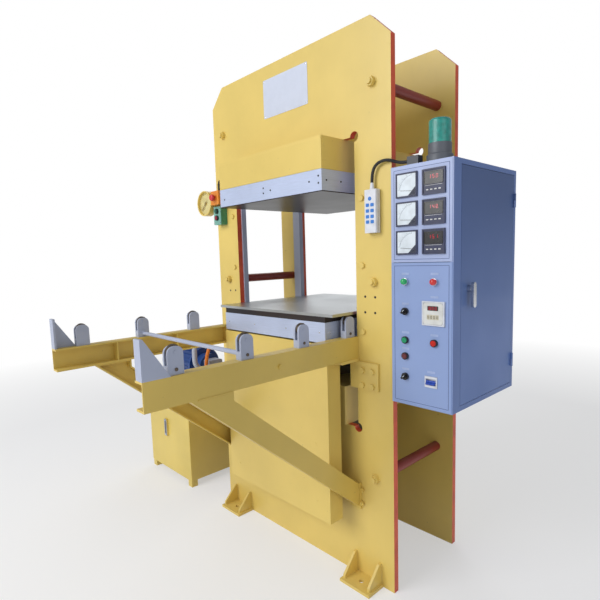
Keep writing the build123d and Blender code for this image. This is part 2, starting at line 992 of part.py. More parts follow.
with BuildPart() as pump:
    pump_left = motor_right + bell_length
    pump_x = pump_left + pump_length / 2
    block(
        (pump_left, motor_y - pump_width / 2, motor_z - pump_height / 2),
        (pump_left + pump_length, motor_y + pump_width / 2, motor_z + pump_height / 2),
    )
    fillet(pump.edges().filter_by(Axis.X), pump_edge)
    bar_along_z(pump_x, motor_y, suction_radius, tank_height, motor_z)
finish(pump, "pump")

with BuildPart() as oil_pipe:
    outlet_y = motor_y - pump_width / 2
    with BuildLine() as pipe_line:
        FilletPolyline(
            (pump_x, outlet_y, motor_z),
            (pump_x, pipe_front, motor_z),
            (pump_x, pipe_front, pipe_rise),
            (pump_x, 0, pipe_rise),
            (pipe_drop_x, 0, pipe_rise),
            (pipe_drop_x, 0, pipe_low),
            (-cylinder_radius - port_length, 0, pipe_low),
            radius=pipe_bend,
        )
    with BuildSketch(Plane(origin=pipe_line.line @ 0, z_dir=pipe_line.line % 0)):
        Circle(pipe_radius)
    sweep()
finish(oil_pipe, "oil_pipe")


def route_radii(points):
    """The bend radius at each inner point: 0.45 of the shorter run over the tangent of half the turn."""
    share = 0.45
    places = [Vector(*point) for point in points]
    radii = []
    for before, here, after in zip(places, places[1:], places[2:]):
        run_in, run_out = here - before, after - here
        turn = run_in.get_angle(run_out)
        radii.append(share * min(run_in.length, run_out.length) / tan(radians(turn / 2)))
    return radii


def cord_tube(points, radius, label):
    """A tube along straight runs joined by tangent arcs. Prints its bend radii and length."""
    radii = route_radii(points)
    with BuildPart() as tube:
        with BuildLine() as route:
            FilletPolyline(*points, radius=radii)
        with BuildSketch(Plane(origin=route.line @ 0, z_dir=route.line % 0)):
            Circle(radius)
        sweep()
    length = route.wires()[0].length
    expected = length * pi * radius**2
    print(label, "radii", [round(value) for value in radii], "length", round(length, 1))
    print(label, "volume over section times length", round(tube.part.volume / expected, 4))
    return tube


oil_hose = cord_tube(hose_points, hose_radius, "oil_hose")
finish(oil_hose, "oil_hose")

# Electric cabinet
with BuildPart() as cabinet:
    block((cabinet_left, cabinet_front, cabinet_base), (cabinet_right, cabinet_rear, cabinet_top))
    block(
        (cabinet_left + cabinet_wall, cabinet_front + cabinet_wall, cabinet_base + cabinet_wall),
        (cabinet_right - cabinet_wall, cabinet_rear - cabinet_wall, cabinet_top - cabinet_wall),
        Mode.SUBTRACT,
    )
    block(
        (cabinet_left + cabinet_lip, cabinet_front - cut_overrun, cabinet_base + cabinet_lip),
        (cabinet_right - cabinet_lip, cabinet_front + cut_overrun, cabinet_top - cabinet_lip),
        Mode.SUBTRACT,
    )
    door_front = cabinet_front + door_front_margin
    door_back = cabinet_rear - door_rear_margin
    door_base = cabinet_base + door_margin
    door_top = cabinet_top - door_margin
    block(
        (cabinet_right - cut_overrun, door_front, door_base),
        (cabinet_right + cut_overrun, door_back, door_top),
        Mode.SUBTRACT,
    )
    hinge_x = cabinet_right + knuckle_radius + free_gap
    hinge_y = door_back - door_gap
    block(
        (entry_left, entry_y - entry_size[1] / 2, cabinet_top),
        (entry_left + entry_size[0], entry_y + entry_size[1] / 2, cabinet_top + entry_size[2]),
    )
    for split_low, split_high in (
        (cabinet_base + panel_inset, cabinet_base + panel_split - panel_gap / 2),
        (cabinet_base + panel_split + panel_gap / 2, cabinet_top - panel_inset),
    ):
        block(
            (cabinet_left + panel_inset, panel_face, split_low),
            (cabinet_right - panel_inset, cabinet_front, split_high),
        )
    cutout = meter_body + 2 * cutout_clearance
    with BuildSketch(at_y(cabinet_front + cut_overrun)):
        for row in instrument_rows:
            with Locations((left_column, row), (right_column, row)):
                Rectangle(cutout, cutout)
        with Locations((right_column, timer_height)):
            Rectangle(cutout, cutout)
        with Locations((breaker_x, breaker_height)):
            Rectangle(breaker_width + 2 * cutout_clearance, breaker_window + 2 * cutout_clearance)
        with Locations(
            (control_left, lamp_height),
            (control_right, lamp_height),
            (control_left, upper_selector_height),
            (control_left, push_button_height),
            (control_right, push_button_height),
            (control_left, reset_height),
            (control_left, lower_selector_height),
        ):
            Circle(barrel_radius + running_fit)
    extrude(amount=2 * cut_overrun + panel_thickness, mode=Mode.SUBTRACT)
    knuckle_ends = (door_base + knuckle_inset, door_top - knuckle_inset)
    for knuckle_z in knuckle_ends:
        bar_along_z(hinge_x, hinge_y, knuckle_radius, knuckle_z - knuckle_length / 2, knuckle_z)
        block(
            (cabinet_right, door_back, knuckle_z - knuckle_length / 2),
            (hinge_x, hinge_y + knuckle_radius, knuckle_z),
        )
        bar_along_z(hinge_x, hinge_y, knuckle_pin_radius, knuckle_z, knuckle_z + knuckle_length / 2 - cut_overrun)
finish(cabinet, "cabinet")

with BuildPart() as cabinet_door:
    leaf_front = door_front + door_gap
    leaf_back = door_back - door_gap
    leaf_base = door_base + door_gap
    leaf_top = door_top - door_gap
    leaf_inner = cabinet_right - door_fold
    block((leaf_inner, leaf_front, leaf_base), (cabinet_right, leaf_back, leaf_top))
    block(
        (leaf_inner - cut_overrun, leaf_front + door_sheet, leaf_base + door_sheet),
        (cabinet_right - door_sheet, leaf_back - door_sheet, leaf_top - door_sheet),
        Mode.SUBTRACT,
    )
    bar_along_x(
        handle_y,
        handle_z,
        handle_shaft_radius + running_fit,
        cabinet_right - door_sheet - cut_overrun,
        cabinet_right + cut_overrun,
        Mode.SUBTRACT,
    )
    for knuckle_z in knuckle_ends:
        low = knuckle_z + free_gap
        high = knuckle_z + knuckle_length / 2
        bar_along_z(hinge_x, hinge_y, knuckle_radius, low, high)
        block((cabinet_right - door_sheet, leaf_back - knuckle_radius, low), (hinge_x, leaf_back, high))
        bore = knuckle_pin_radius + running_fit
        bar_along_z(hinge_x, hinge_y, bore, low - cut_overrun, high - door_sheet, Mode.SUBTRACT)
finish(cabinet_door, "cabinet_door")

with BuildPart() as door_handle:
    grip_low = cabinet_right + handle_stand
    with BuildSketch(at_x(grip_low)):
        with Locations((handle_y, handle_z - handle_length / 2 + handle_width / 2 + handle_tail)):
            SlotOverall(handle_length, handle_width, rotation=90)
    extrude(amount=handle_thickness)
    bar_along_x(handle_y, handle_z, handle_boss_radius, cabinet_right + free_gap, grip_low)
    shaft_end = cabinet_right - door_sheet - free_gap - handle_disc_thickness
    bar_along_x(handle_y, handle_z, handle_shaft_radius, shaft_end, grip_low)
    bar_along_x(handle_y, handle_z, handle_boss_radius, shaft_end, shaft_end + handle_disc_thickness)
finish(door_handle, "door_handle")


def panel_instrument(x, z):
    """A square instrument: a bezel with a recessed face, and its body behind the panel."""
    half = meter_size / 2
    body = meter_body / 2
    face = half - meter_rim
    block((x - half, panel_face - meter_bezel, z - half), (x + half, panel_face, z + half))
    block((x - body, panel_face, z - body), (x + body, panel_face + meter_depth, z + body))
    block(
        (x - face, panel_face - meter_bezel - cut_overrun, z - face),
        (x + face, panel_face - meter_bezel + meter_recess, z + face),
        Mode.SUBTRACT,
    )


with BuildPart() as panel_devices:
    for row in instrument_rows:
        panel_instrument(left_column, row)
        panel_instrument(right_column, row)
    panel_instrument(right_column, timer_height)
    nose = panel_face - breaker_nose
    block(
        (breaker_x - breaker_width / 2, nose, breaker_height - breaker_window / 2),
        (breaker_x + breaker_width / 2, nose + breaker_depth, breaker_height + breaker_window / 2),
    )
    block(
        (breaker_x - breaker_slot_width / 2 - free_gap, nose - cut_overrun, breaker_height - breaker_slot_height / 2),
        (breaker_x + breaker_slot_width / 2 + free_gap, nose + breaker_slot_depth, breaker_height + breaker_slot_height / 2),
        Mode.SUBTRACT,
    )
    toggle_y = nose + breaker_slot_depth / 2
    pin_reach = breaker_slot_width / 2 + cut_overrun / 2
    bar_along_x(toggle_y, breaker_height, toggle_pin_radius, breaker_x - pin_reach, breaker_x + pin_reach)
finish(panel_devices, "panel_devices")


def control_body(x, z, face, behind):
    """A ring in front of a panel, with a barrel through it and, behind it, a contact block."""
    bar_along_y(x, z, bezel_radius, face - bezel_depth, face)
    bar_along_y(x, z, barrel_radius, face, face + behind)
    block_half = block_size / 2
    block(
        (x - block_half, face + behind, z - block_half),
        (x + block_half, face + behind + block_depth, z + block_half),
    )
    bar_along_y(x, z, bezel_bore, face - bezel_depth - cut_overrun, face, Mode.SUBTRACT)
    bar_along_y(x, z, barrel_bore, face - cut_overrun, face + behind, Mode.SUBTRACT)


def button_cap(x, z, face, name):
    """A push button's cap and stem, which slide in the ring and barrel."""
    with BuildPart() as cap:
        front = face - cap_front
        bar_along_y(x, z, cap_radius, front, front + cap_thickness)
        chamfer(cap.edges().group_by(Axis.Y)[0], roller_edge)
        bar_along_y(x, z, stem_radius, front + cap_thickness, front + cap_thickness + stem_length)
    finish(cap, name)


def selector_knob(x, z, name):
    """A selector's disc and its raised bar, turned to the rest position."""
    with BuildPart() as knob:
        front = panel_face - cap_front
        bar_along_y(x, z, cap_radius, front, front + cap_thickness)
        bar_along_y(x, z, stem_radius, front + cap_thickness, front + cap_thickness + stem_length)
        with BuildSketch(at_y(front)):
            with Locations((x, z)):
                Rectangle(2 * cap_radius - knob_bar_width / 2, knob_bar_width, rotation=knob_angle)
        extrude(amount=knob_bar_height)
    finish(knob, name)


with BuildPart() as panel_fittings:
    for place in (
        (control_left, upper_selector_height),
        (control_left, push_button_height),
        (control_right, push_button_height),
        (control_left, reset_height),
        (control_left, lower_selector_height),
    ):
        control_body(*place, panel_face, barrel_length)
    for lamp_x in (control_left, control_right):
        bar_along_y(lamp_x, lamp_height, bezel_radius, panel_face - bezel_depth, panel_face)
        bar_along_y(lamp_x, lamp_height, cap_radius, panel_face - bezel_depth - lamp_dome, panel_face - bezel_depth)
        bar_along_y(lamp_x, lamp_height, barrel_radius, panel_face, panel_face + barrel_length)
finish(panel_fittings, "panel_fittings")

button_cap(control_left, push_button_height, panel_face, "green_button")
button_cap(control_right, push_button_height, panel_face, "red_button")
button_cap(control_left, reset_height, panel_face, "reset_button")
selector_knob(control_left, upper_selector_height, "upper_selector")
selector_knob(control_left, lower_selector_height, "lower_selector")

with BuildPart() as breaker_toggle:
    hub = toggle_pin_radius + door_sheet
    toggle_half = breaker_slot_width / 2
    bar_along_x(toggle_y, breaker_height, hub, breaker_x - toggle_half, breaker_x + toggle_half)
    lever_plane = Plane(
        origin=(breaker_x, toggle_y, breaker_height),
        x_dir=(1, 0, 0),
        z_dir=(0, -cos(radians(toggle_tilt)), -sin(radians(toggle_tilt))),
    )
    with BuildSketch(lever_plane):
        with GridLocations(toggle_pole_pitch, 0, 3, 1):
            Rectangle(toggle_lever_width, toggle_bar_height)
    extrude(amount=toggle_length)
    with BuildSketch(lever_plane.offset(toggle_length - toggle_bar_height)):
        Rectangle(breaker_slot_width - toggle_bar_height, toggle_bar_height - door_sheet)
    extrude(amount=toggle_bar_height)
    bore = toggle_pin_radius + running_fit
    reach = toggle_half + cut_overrun
    bar_along_x(toggle_y, breaker_height, bore, breaker_x - reach, breaker_x + reach, Mode.SUBTRACT)
finish(breaker_toggle, "breaker_toggle")

# Beacon on the cabinet
with BuildPart() as beacon_base:
    neck_base = cabinet_top + beacon_base_height
    bar_along_z(beacon_x, beacon_y, beacon_base_radius, cabinet_top, neck_base)
    chamfer(beacon_base.edges().group_by(Axis.Z)[-1], beacon_edge)
    bar_along_z(beacon_x, beacon_y, beacon_neck_radius, neck_base, neck_base + beacon_neck_height)
finish(beacon_base, "beacon_base")

with BuildPart() as beacon_lens:
    lens_base = neck_base + beacon_neck_height
    bar_along_z(beacon_x, beacon_y, beacon_lens_radius, lens_base, lens_base + beacon_lens_height)
    fillet(beacon_lens.edges().group_by(Axis.Z)[-1], 2 * beacon_edge)
    bar_along_z(
        beacon_x,
        beacon_y,
        beacon_lens_radius - beacon_lens_wall,
        lens_base,
        lens_base + beacon_lens_height - 2 * beacon_edge,
        Mode.SUBTRACT,
    )
finish(beacon_lens, "beacon_lens")

# Pendant, hung against the front plate on its cable
with BuildPart() as pendant:
    block(
        (pendant_x - pendant_width / 2, pendant_y - pendant_depth / 2, pendant_base),
        (pendant_x + pendant_width / 2, pendant_y + pendant_depth / 2, pendant_base + pendant_height),
    )
    fillet(pendant.edges().filter_by(Axis.Z), pendant_edge)
    with BuildSketch(Plane.XY.offset(pendant_base + pendant_height)):
        with Locations((pendant_x, pendant_y)):
            Circle(relief_radius)
    with BuildSketch(Plane.XY.offset(relief_top)):
        with Locations((pendant_x, pendant_y)):
            Circle(relief_tip_radius)
    loft()
finish(pendant, "pendant")

pendant_cable = cord_tube(cable_points, cable_radius, "pendant_cable")
finish(pendant_cable, "pendant_cable")

# Push-button station and emergency stop
with BuildPart() as start_box:
    station_face = front_face - station_depth
    block(
        (station_x - station_width / 2, station_face, station_base),
        (station_x + station_width / 2, front_face, station_base + station_height),
    )
    fillet(start_box.edges().filter_by(Axis.Y), station_edge)
    recess = cap_thickness + stem_length
    for height in station_buttons:
        bar_along_y(station_x, height, bezel_radius, station_face - bezel_depth, station_face)
        bore_end = station_face + recess
        bar_along_y(station_x, height, bezel_bore, station_face - bezel_depth - cut_overrun, station_face, Mode.SUBTRACT)
        bar_along_y(station_x, height, barrel_bore, station_face - cut_overrun, bore_end, Mode.SUBTRACT)
finish(start_box, "start_box")

button_cap(station_x, station_buttons[0], station_face, "start_button")
button_cap(station_x, station_buttons[1], station_face, "stop_button")

with BuildPart() as stop_box:
    stop_x = stop_box_left + stop_box_width / 2
    stop_z = stop_box_base + stop_box_height / 2
    stop_face = front_face - stop_box_depth
    block(
        (stop_box_left, stop_face, stop_box_base),
        (stop_box_left + stop_box_width, front_face, stop_box_base + stop_box_height),
    )
    fillet(stop_box.edges().filter_by(Axis.Y), station_edge)
    bar_along_y(stop_x, stop_z, bezel_radius, stop_face - bezel_depth / 2, stop_face)
    stem_bore = mushroom_stem_radius + free_gap
    bar_along_y(stop_x, stop_z, stem_bore, stop_face - bezel_depth, stop_face + stem_length, Mode.SUBTRACT)
    conduit_y = front_face - stop_box_depth / 2
    conduit_top = stop_box_base + stop_box_height
    with BuildLine() as conduit_line:
        FilletPolyline(
            (stop_x, conduit_y, conduit_top),
            (stop_x, conduit_y, conduit_top + conduit_rise),
            (stop_x + conduit_span, conduit_y, conduit_top + conduit_rise),
            (stop_x + conduit_span, conduit_y, conduit_top + conduit_bend / 2),
            (stop_x + conduit_span, front_face, conduit_top + conduit_bend / 2),
            radius=(conduit_bend, conduit_bend, conduit_entry_bend),
        )
    with BuildSketch(Plane(origin=conduit_line.line @ 0, z_dir=conduit_line.line % 0)):
        Circle(conduit_radius)
    sweep()
finish(stop_box, "stop_box")

with BuildPart() as emergency_button:
    cap_back = stop_face - mushroom_gap
    bar_along_y(stop_x, stop_z, mushroom_radius, cap_back - mushroom_thickness, cap_back)
    fillet(emergency_button.edges().group_by(Axis.Y)[0], mushroom_thickness / 2)
    bar_along_y(stop_x, stop_z, mushroom_stem_radius, cap_back, stop_face + bezel_depth)
finish(emergency_button, "emergency_button")

# Pressure gauge
with BuildPart() as gauge:
    gauge_face = gauge_back - gauge_depth
    bar_along_y(gauge_x, gauge_z, gauge_radius, gauge_face, gauge_back)
    chamfer(gauge.edges().group_by(Axis.Y)[-1], gauge_rim)
    bar_along_y(
        gauge_x,
        gauge_z,
        gauge_radius - gauge_rim,
        gauge_face - cut_overrun,
        gauge_face + gauge_recess,
        Mode.SUBTRACT,
    )
    dial_face = gauge_face + gauge_recess
    bar_along_y(gauge_x, gauge_z, gauge_boss_radius, dial_face - gauge_boss_height, dial_face)
    pin_end = dial_face - gauge_boss_height - free_gap - needle_thickness - free_gap
    bar_along_y(gauge_x, gauge_z, needle_pin_radius, pin_end, dial_face)
    strap_left = gauge_x
    block(
        (strap_left, gauge_back, gauge_z - gauge_strap_height / 2),
        (strap_left + gauge_strap_width, front_face, gauge_z + gauge_strap_height / 2),
    )
finish(gauge, "pressure_gauge")

with BuildPart() as needle:
    needle_back = dial_face - gauge_boss_height - free_gap
    with BuildSketch(at_y(needle_back)):
        with Locations((gauge_x, gauge_z)):
            Circle(needle_hub_radius)
            Circle(needle_pin_radius + running_fit, mode=Mode.SUBTRACT)
    extrude(amount=needle_thickness)
    with BuildSketch(at_y(needle_back)):
        middle = (needle_length + needle_hub_radius) / 2
        tail_middle = (needle_tail + needle_hub_radius) / 2
        angle = radians(needle_rest_angle)
        for reach, length in ((middle, needle_length), (-tail_middle, needle_tail)):
            with Locations((gauge_x + reach * cos(angle), gauge_z + reach * sin(angle))):
                Rectangle(length - needle_hub_radius + needle_pin_radius, needle_width, rotation=needle_rest_angle)
    extrude(amount=needle_thickness)
finish(needle, "gauge_needle")

print("daylight", round(daylight, 2))
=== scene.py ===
"""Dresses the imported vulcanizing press: its small fasteners, instruments, hoses and painted finishes.

Metres, in the frame of the CAD model: +Z up, the operator at -Y, the cabinet at +X, the power unit at -X.
"""

import math

import bpy
import numpy as np
from mathutils import Matrix, Vector


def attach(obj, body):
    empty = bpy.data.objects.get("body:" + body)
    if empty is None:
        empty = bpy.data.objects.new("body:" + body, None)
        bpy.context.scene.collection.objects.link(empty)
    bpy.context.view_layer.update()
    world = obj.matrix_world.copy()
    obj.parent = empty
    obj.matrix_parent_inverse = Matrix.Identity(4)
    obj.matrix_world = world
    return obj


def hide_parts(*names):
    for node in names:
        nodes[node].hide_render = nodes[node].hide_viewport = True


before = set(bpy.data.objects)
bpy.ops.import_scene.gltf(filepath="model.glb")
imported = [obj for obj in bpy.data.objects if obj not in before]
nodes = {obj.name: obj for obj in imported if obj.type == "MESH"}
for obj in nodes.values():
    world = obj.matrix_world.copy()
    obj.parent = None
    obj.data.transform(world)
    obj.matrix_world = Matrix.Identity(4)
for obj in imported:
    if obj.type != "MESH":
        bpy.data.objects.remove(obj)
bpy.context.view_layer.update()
tau = 2 * np.pi


def tone(red, green, blue):
    """A colour on the 0 to 255 scale of a screen, as the linear numbers that shaders take."""
    levels = np.array([red, green, blue]) / 255
    linear = np.where(levels <= 0.04045, levels / 12.92, ((levels + 0.055) / 1.055) ** 2.4)
    return (*linear, 1.0)


def dimmed(colour, share):
    """The same colour with its linear numbers times the share."""
    return (*(share * part for part in colour[:3]), 1.0)


# Camera, from the fit to the photograph
def photograph_camera():
    """Looks along yaw 47.57, pitch -6.35 and roll -1.86 degrees from beside the right front corner."""
    yaw, pitch, roll = np.radians((47.571, -6.354, -1.859))
    forward = np.array([-np.sin(yaw) * np.cos(pitch), np.cos(yaw) * np.cos(pitch), np.sin(pitch)])
    level = np.array([np.cos(yaw), np.sin(yaw), 0])
    over = np.cross(level, forward)
    right = np.cos(roll) * level + np.sin(roll) * over
    up = np.cos(roll) * over - np.sin(roll) * level
    data = bpy.data.cameras.new("photograph")
    data.sensor_width, data.lens = 36, 28.27
    data.shift_x, data.shift_y = 0.0233, 0.0167
    data.clip_end = 60
    camera = bpy.data.objects.new("photograph", data)
    place = Matrix.Translation((1.7782, -1.9373, 1.5241))
    camera.matrix_world = place @ Matrix(np.column_stack([right, up, -forward]).tolist()).to_4x4()
    bpy.context.scene.collection.objects.link(camera)
    bpy.context.scene.camera = camera


photograph_camera()


# Shader maths
class Value:
    """A number that varies over a surface. Python's operators add the Math nodes that work it out."""

    def __init__(self, look, socket):
        self.look, self.socket = look, socket

    def __add__(self, other):
        return self.look.maths("ADD", self, other)

    def __sub__(self, other):
        return self.look.maths("SUBTRACT", self, other)

    def __rsub__(self, other):
        return self.look.maths("SUBTRACT", other, self)

    def __mul__(self, other):
        return self.look.maths("MULTIPLY", self, other)

    def __truediv__(self, other):
        return self.look.maths("DIVIDE", self, other)

    def __rtruediv__(self, other):
        return self.look.maths("DIVIDE", other, self)

    def __pow__(self, other):
        return self.look.maths("POWER", self, other)

    def __gt__(self, other):
        return self.look.maths("GREATER_THAN", self, other)

    def __lt__(self, other):
        return self.look.maths("LESS_THAN", self, other)

    def __abs__(self):
        return self.look.maths("ABSOLUTE", self)

    __radd__ = __add__
    __rmul__ = __mul__

    def rising(self, low, high):
        """0 below low, 1 above high, and straight between."""
        return self.look.maths("MULTIPLY", (self - low) / (high - low), 1.0, clamp=True)


class Look:
    """One material, with the few node patterns that the finishes are made of."""

    def __init__(self, name, slot):
        self.material = bpy.data.materials.new(name)
        self.slot = slot
        self.material.use_nodes = True
        self.tree = self.material.node_tree
        self.tree.nodes.clear()
        self.place = self.add("ShaderNodeTexCoord", {}, {}, "Object")
        self.across, self.along, self.up = self.parts(self.place)

    def add(self, kind, settings, inputs, output=0):
        """Adds a node: its settings first, then its inputs as values or links. Gives back one output."""
        node = self.tree.nodes.new(kind)
        for name, value in settings.items():
            setattr(node, name, value)
        for name, value in inputs.items():
            socket = node.inputs[name]
            if isinstance(value, Value):
                self.tree.links.new(value.socket, socket)
            else:
                socket.default_value = value
        return Value(self, node.outputs[output])

    def maths(self, operation, *values, clamp=False):
        """One Math node on one or two values."""
        inputs = dict(enumerate(values))
        return self.add("ShaderNodeMath", {"operation": operation, "use_clamp": clamp}, inputs)

    def parts(self, vector):
        """The X, Y and Z of a vector."""
        node = self.tree.nodes.new("ShaderNodeSeparateXYZ")
        self.tree.links.new(vector.socket, node.inputs[0])
        return [Value(self, output) for output in node.outputs]

    def facing(self):
        """How far the surface faces along X, Y and Z."""
        return self.parts(self.add("ShaderNodeNewGeometry", {}, {}, "Normal"))

    def mix(self, share, first, second):
        """Goes from the first colour to the second as share goes from 0 to 1."""
        return self.add("ShaderNodeMix", {"data_type": "RGBA"}, {0: share, 6: first, 7: second}, 2)

    def stretched(self, size):
        """The place on the object, times the size along each axis."""
        return self.add("ShaderNodeMapping", {}, {"Vector": self.place, "Scale": size}, "Vector")

    def cloud(self, scale, detail=3.0, size=None):
        """Soft noise from 0 to 1, stretched where size is given."""
        where = self.stretched(size) if size else self.place
        inputs = {"Vector": where, "Scale": scale, "Detail": detail}
        return self.add("ShaderNodeTexNoise", {}, inputs, 0)

    def cells(self, scale):
        """The distance to the nearest of many scattered points."""
        return self.add("ShaderNodeTexVoronoi", {}, {"Vector": self.place, "Scale": scale}, 0)

    def relief(self, height, depth, share=1.0):
        """A normal bent by a height, as if the surface rose by the depth."""
        return self.add("ShaderNodeBump", {}, {"Height": height, "Distance": depth, "Strength": share})

    def finish(self, **sockets):
        """Ends the material with the standard shader. Names are its sockets, with _ for a space."""
        inputs = {name.replace("_", " "): value for name, value in sockets.items()}
        shader = self.add("ShaderNodeBsdfPrincipled", {}, inputs)
        self.close(shader)
        return self

    def close(self, shader):
        """Puts the shader on the surface."""
        output = self.tree.nodes.new("ShaderNodeOutputMaterial")
        self.tree.links.new(shader.socket, output.inputs[0])


def enamel(name, slot, colour, edge=None, gloss=0.34, worn=tone(120, 105, 75), dust=0.10):
    """Brushed-on machine enamel: slow drifts of tone, faint vertical brush drag, orange peel and small chips.

    With an edge colour, faces that don't look along Y are the flame-cut edges, painted that colour.
    """
    look = Look(name, slot)
    _, front, top = look.facing()
    drift = look.cloud(1.7, 4.0)
    drag = look.cloud(60.0, 3.0, (1.0, 1.0, 0.25))
    peel = look.cloud(340.0, 2.0)
    light = tuple(min(1.0, 1.06 * part + 0.01) for part in colour[:3]) + (1.0,)
    shade = look.mix((0.95 * drift + 0.05 * drag).rising(0.30, 0.72), dimmed(colour, 0.86), light)
    if edge:
        rim = 1 - abs(front).rising(0.35, 0.60)
        rust = look.cloud(18.0, 5.0)
        edges = look.mix(rust.rising(0.45, 0.80), edge, dimmed(edge, 0.62))
        shade = look.mix(rim, shade, edges)
    chips = look.cloud(55.0, 6.0).rising(0.735, 0.76)
    shade = look.mix(chips * 0.55, shade, worn)
    settled = top.rising(0.55, 0.95) * look.cloud(9.0, 5.0).rising(0.30, 0.70) * dust
    shade = look.mix(settled, shade, tone(190, 182, 165))
    roughness = gloss + 0.16 * drag + settled * 0.6
    normal = look.relief(peel * 0.5 + drag * 0.1 - chips * 0.8, 0.0006, 0.26)
    return look.finish(
        Base_Color=shade, Roughness=roughness, Normal=normal, Coat_Weight=0.15, Coat_Roughness=0.2,
    )


def sheet_steel(name, slot, colour, drag=(1.0, 1.0, 60.0), gloss=0.30, metallic=0.85):
    """Bright sheet: fine parallel grinding lines, finger-dull patches and a few long scratches."""
    look = Look(name, slot)
    lines = look.cloud(12.0, 4.0, drag)
    dull = look.cloud(4.0, 5.0)
    long = tuple(part * 0.5 for part in drag)
    scratch = look.cloud(30.0, 2.0, long).rising(0.70, 0.74)
    shade = look.mix((0.5 * lines + 0.5 * dull).rising(0.30, 0.70), dimmed(colour, 0.74), colour)
    shade = look.mix(scratch * 0.35, shade, tone(230, 232, 236))
    roughness = gloss + 0.22 * dull - scratch * 0.08
    normal = look.relief(lines * 0.6 - scratch, 0.0002, 0.25)
    return look.finish(Base_Color=shade, Roughness=roughness, Metallic=metallic, Normal=normal)


def iron(name, slot, colour, gloss=0.45, metallic=0.5, grain=220.0):
    """Machined or cast iron under a film of oil: pitted grain and oily patches."""
    look = Look(name, slot)
    pits = look.cells(grain)
    oil = look.cloud(5.0, 5.0)
    shade = look.mix(oil.rising(0.32, 0.70), dimmed(colour, 0.55), colour)
    shade = look.mix(look.cloud(24.0, 4.0).rising(0.60, 0.78) * 0.4, shade, tone(116, 78, 50))
    roughness = gloss + 0.25 * oil - 0.1
    normal = look.relief(pits, 0.0004, 0.22)
    return look.finish(Base_Color=shade, Roughness=roughness, Metallic=metallic, Normal=normal)


def moulded(name, slot, colour, gloss=0.35, grain=900.0, share=0.14, coat=0.0, soil=1.0):
    """Moulded plastic: an even skin with a fine spark texture, and faint grime that grows with soil."""
    look = Look(name, slot)
    skin = look.cloud(grain, 2.0)
    grime = look.cloud(30.0, 4.0)
    shade = look.mix(grime.rising(0.42, 0.80) * soil, colour, dimmed(colour, 0.82))
    roughness = gloss + 0.12 * grime
    normal = look.relief(skin, 0.0002, share)
    return look.finish(Base_Color=shade, Roughness=roughness, Normal=normal, Coat_Weight=coat)


yellow = tone(230, 202, 110)
plate_paint = enamel("plate_paint", "frame_yellow", yellow, tone(228, 84, 42))
body_paint = enamel("body_paint", "frame_yellow", yellow)
rail_paint = enamel("rail_paint", "rail_yellow", tone(222, 192, 94))
cover_paint = enamel("cover_paint", "cover_yellow", tone(228, 200, 108), gloss=0.28)
tank_paint = enamel("tank_paint", "tank_yellow", tone(228, 202, 104), gloss=0.32, dust=0.25)
rod_paint = enamel("rod_paint", "tie_red", tone(142, 40, 28), gloss=0.38)
post_paint = enamel("post_paint", "post_grey", tone(176, 184, 206), gloss=0.36, worn=tone(90, 92, 98))
motor_paint = enamel("motor_paint", "motor_blue", tone(20, 66, 136), gloss=0.30, worn=tone(30, 40, 60))
pipe_paint = enamel("pipe_paint", "pipe_grey", tone(172, 178, 192), gloss=0.35)
gauge_paint = enamel("gauge_paint", "gauge_yellow", yellow, gloss=0.28)
guard_sheet = sheet_steel("guard_sheet", "guard_silver", tone(200, 212, 240), (1.0, 1.0, 50.0), 0.34, 0.25)
tray_sheet = sheet_steel("tray_sheet", "tray_steel", tone(196, 200, 202), (1.0, 40.0, 1.0), 0.22, 0.85)
turned_steel = sheet_steel("turned_steel", "roller_steel", tone(112, 100, 88), (80.0, 1.0, 1.0), 0.26, 0.95)
bright_chrome = sheet_steel("bright_chrome", "handle_chrome", tone(214, 216, 220), (1.0, 1.0, 4.0), 0.10, 1.0)
ram_chrome = sheet_steel("ram_chrome", "ram_chrome", tone(205, 208, 214), (1.0, 1.0, 8.0), 0.08, 1.0)
table_iron = iron("table_iron", "dark_iron", tone(86, 90, 100))
cylinder_iron = iron("cylinder_iron", "dark_iron", tone(120, 112, 92), 0.5, 0.2, 160.0)
dark_plastic = moulded("dark_plastic", "device_dark", tone(46, 52, 72), 0.34)
pale_plastic = moulded("pale_plastic", "device_pale", tone(222, 224, 222), 0.30)
pendant_shell = moulded("pendant_shell", "pendant_grey", tone(226, 229, 236), 0.30, coat=0.1)
blue_key = moulded("blue_key", "toggle_blue", tone(52, 128, 214), 0.28)
toggle_blue = moulded("toggle_blue", "toggle_blue", tone(44, 82, 190), 0.28)
green_cap = moulded("green_cap", "button_green", tone(24, 150, 104), 0.18, coat=0.4)
red_cap = moulded("red_cap", "button_red", tone(205, 30, 26), 0.18, coat=0.4)
dull_red_cap = moulded("dull_red_cap", "button_red", tone(96, 28, 36), 0.25, coat=0.2)
black_knob = moulded("black_knob", "knob_black", tone(26, 26, 28), 0.22, coat=0.2)
white_ink = moulded("white_ink", "device_pale", tone(226, 236, 244), 0.30)
black_ink = moulded("black_ink", "needle_black", tone(16, 16, 18), 0.45)
start_cap = moulded("start_cap", "button_green", tone(34, 96, 84), 0.25, coat=0.2)
halt_cap = moulded("halt_cap", "button_red", tone(150, 40, 62), 0.25, coat=0.2)
stop_cap = moulded("stop_cap", "button_red", tone(214, 54, 60), 0.25, coat=0.3)
# Painted glare: the gauge's needle and ticks are a faded ochre instead of black, standing in for glare on its
# glass.
glare_faded_ink = moulded("glare_faded_ink", "needle_black", tone(140, 118, 70), 0.45)
blank_plate = moulded("blank_plate", "device_pale", tone(206, 213, 230), 0.34, soil=0.25)
timer_cream = moulded("timer_cream", "device_pale", tone(206, 200, 178), 0.36)
border_ink = moulded("border_ink", "cabinet_blue", tone(78, 94, 146), 0.42)
faint_ink = moulded("faint_ink", "needle_black", tone(128, 140, 156), 0.45)
label_film = moulded("label_film", "cabinet_blue", tone(164, 182, 222), 0.30)
beacon_shell = moulded("beacon_shell", "beacon_grey", tone(96, 100, 108), 0.40)
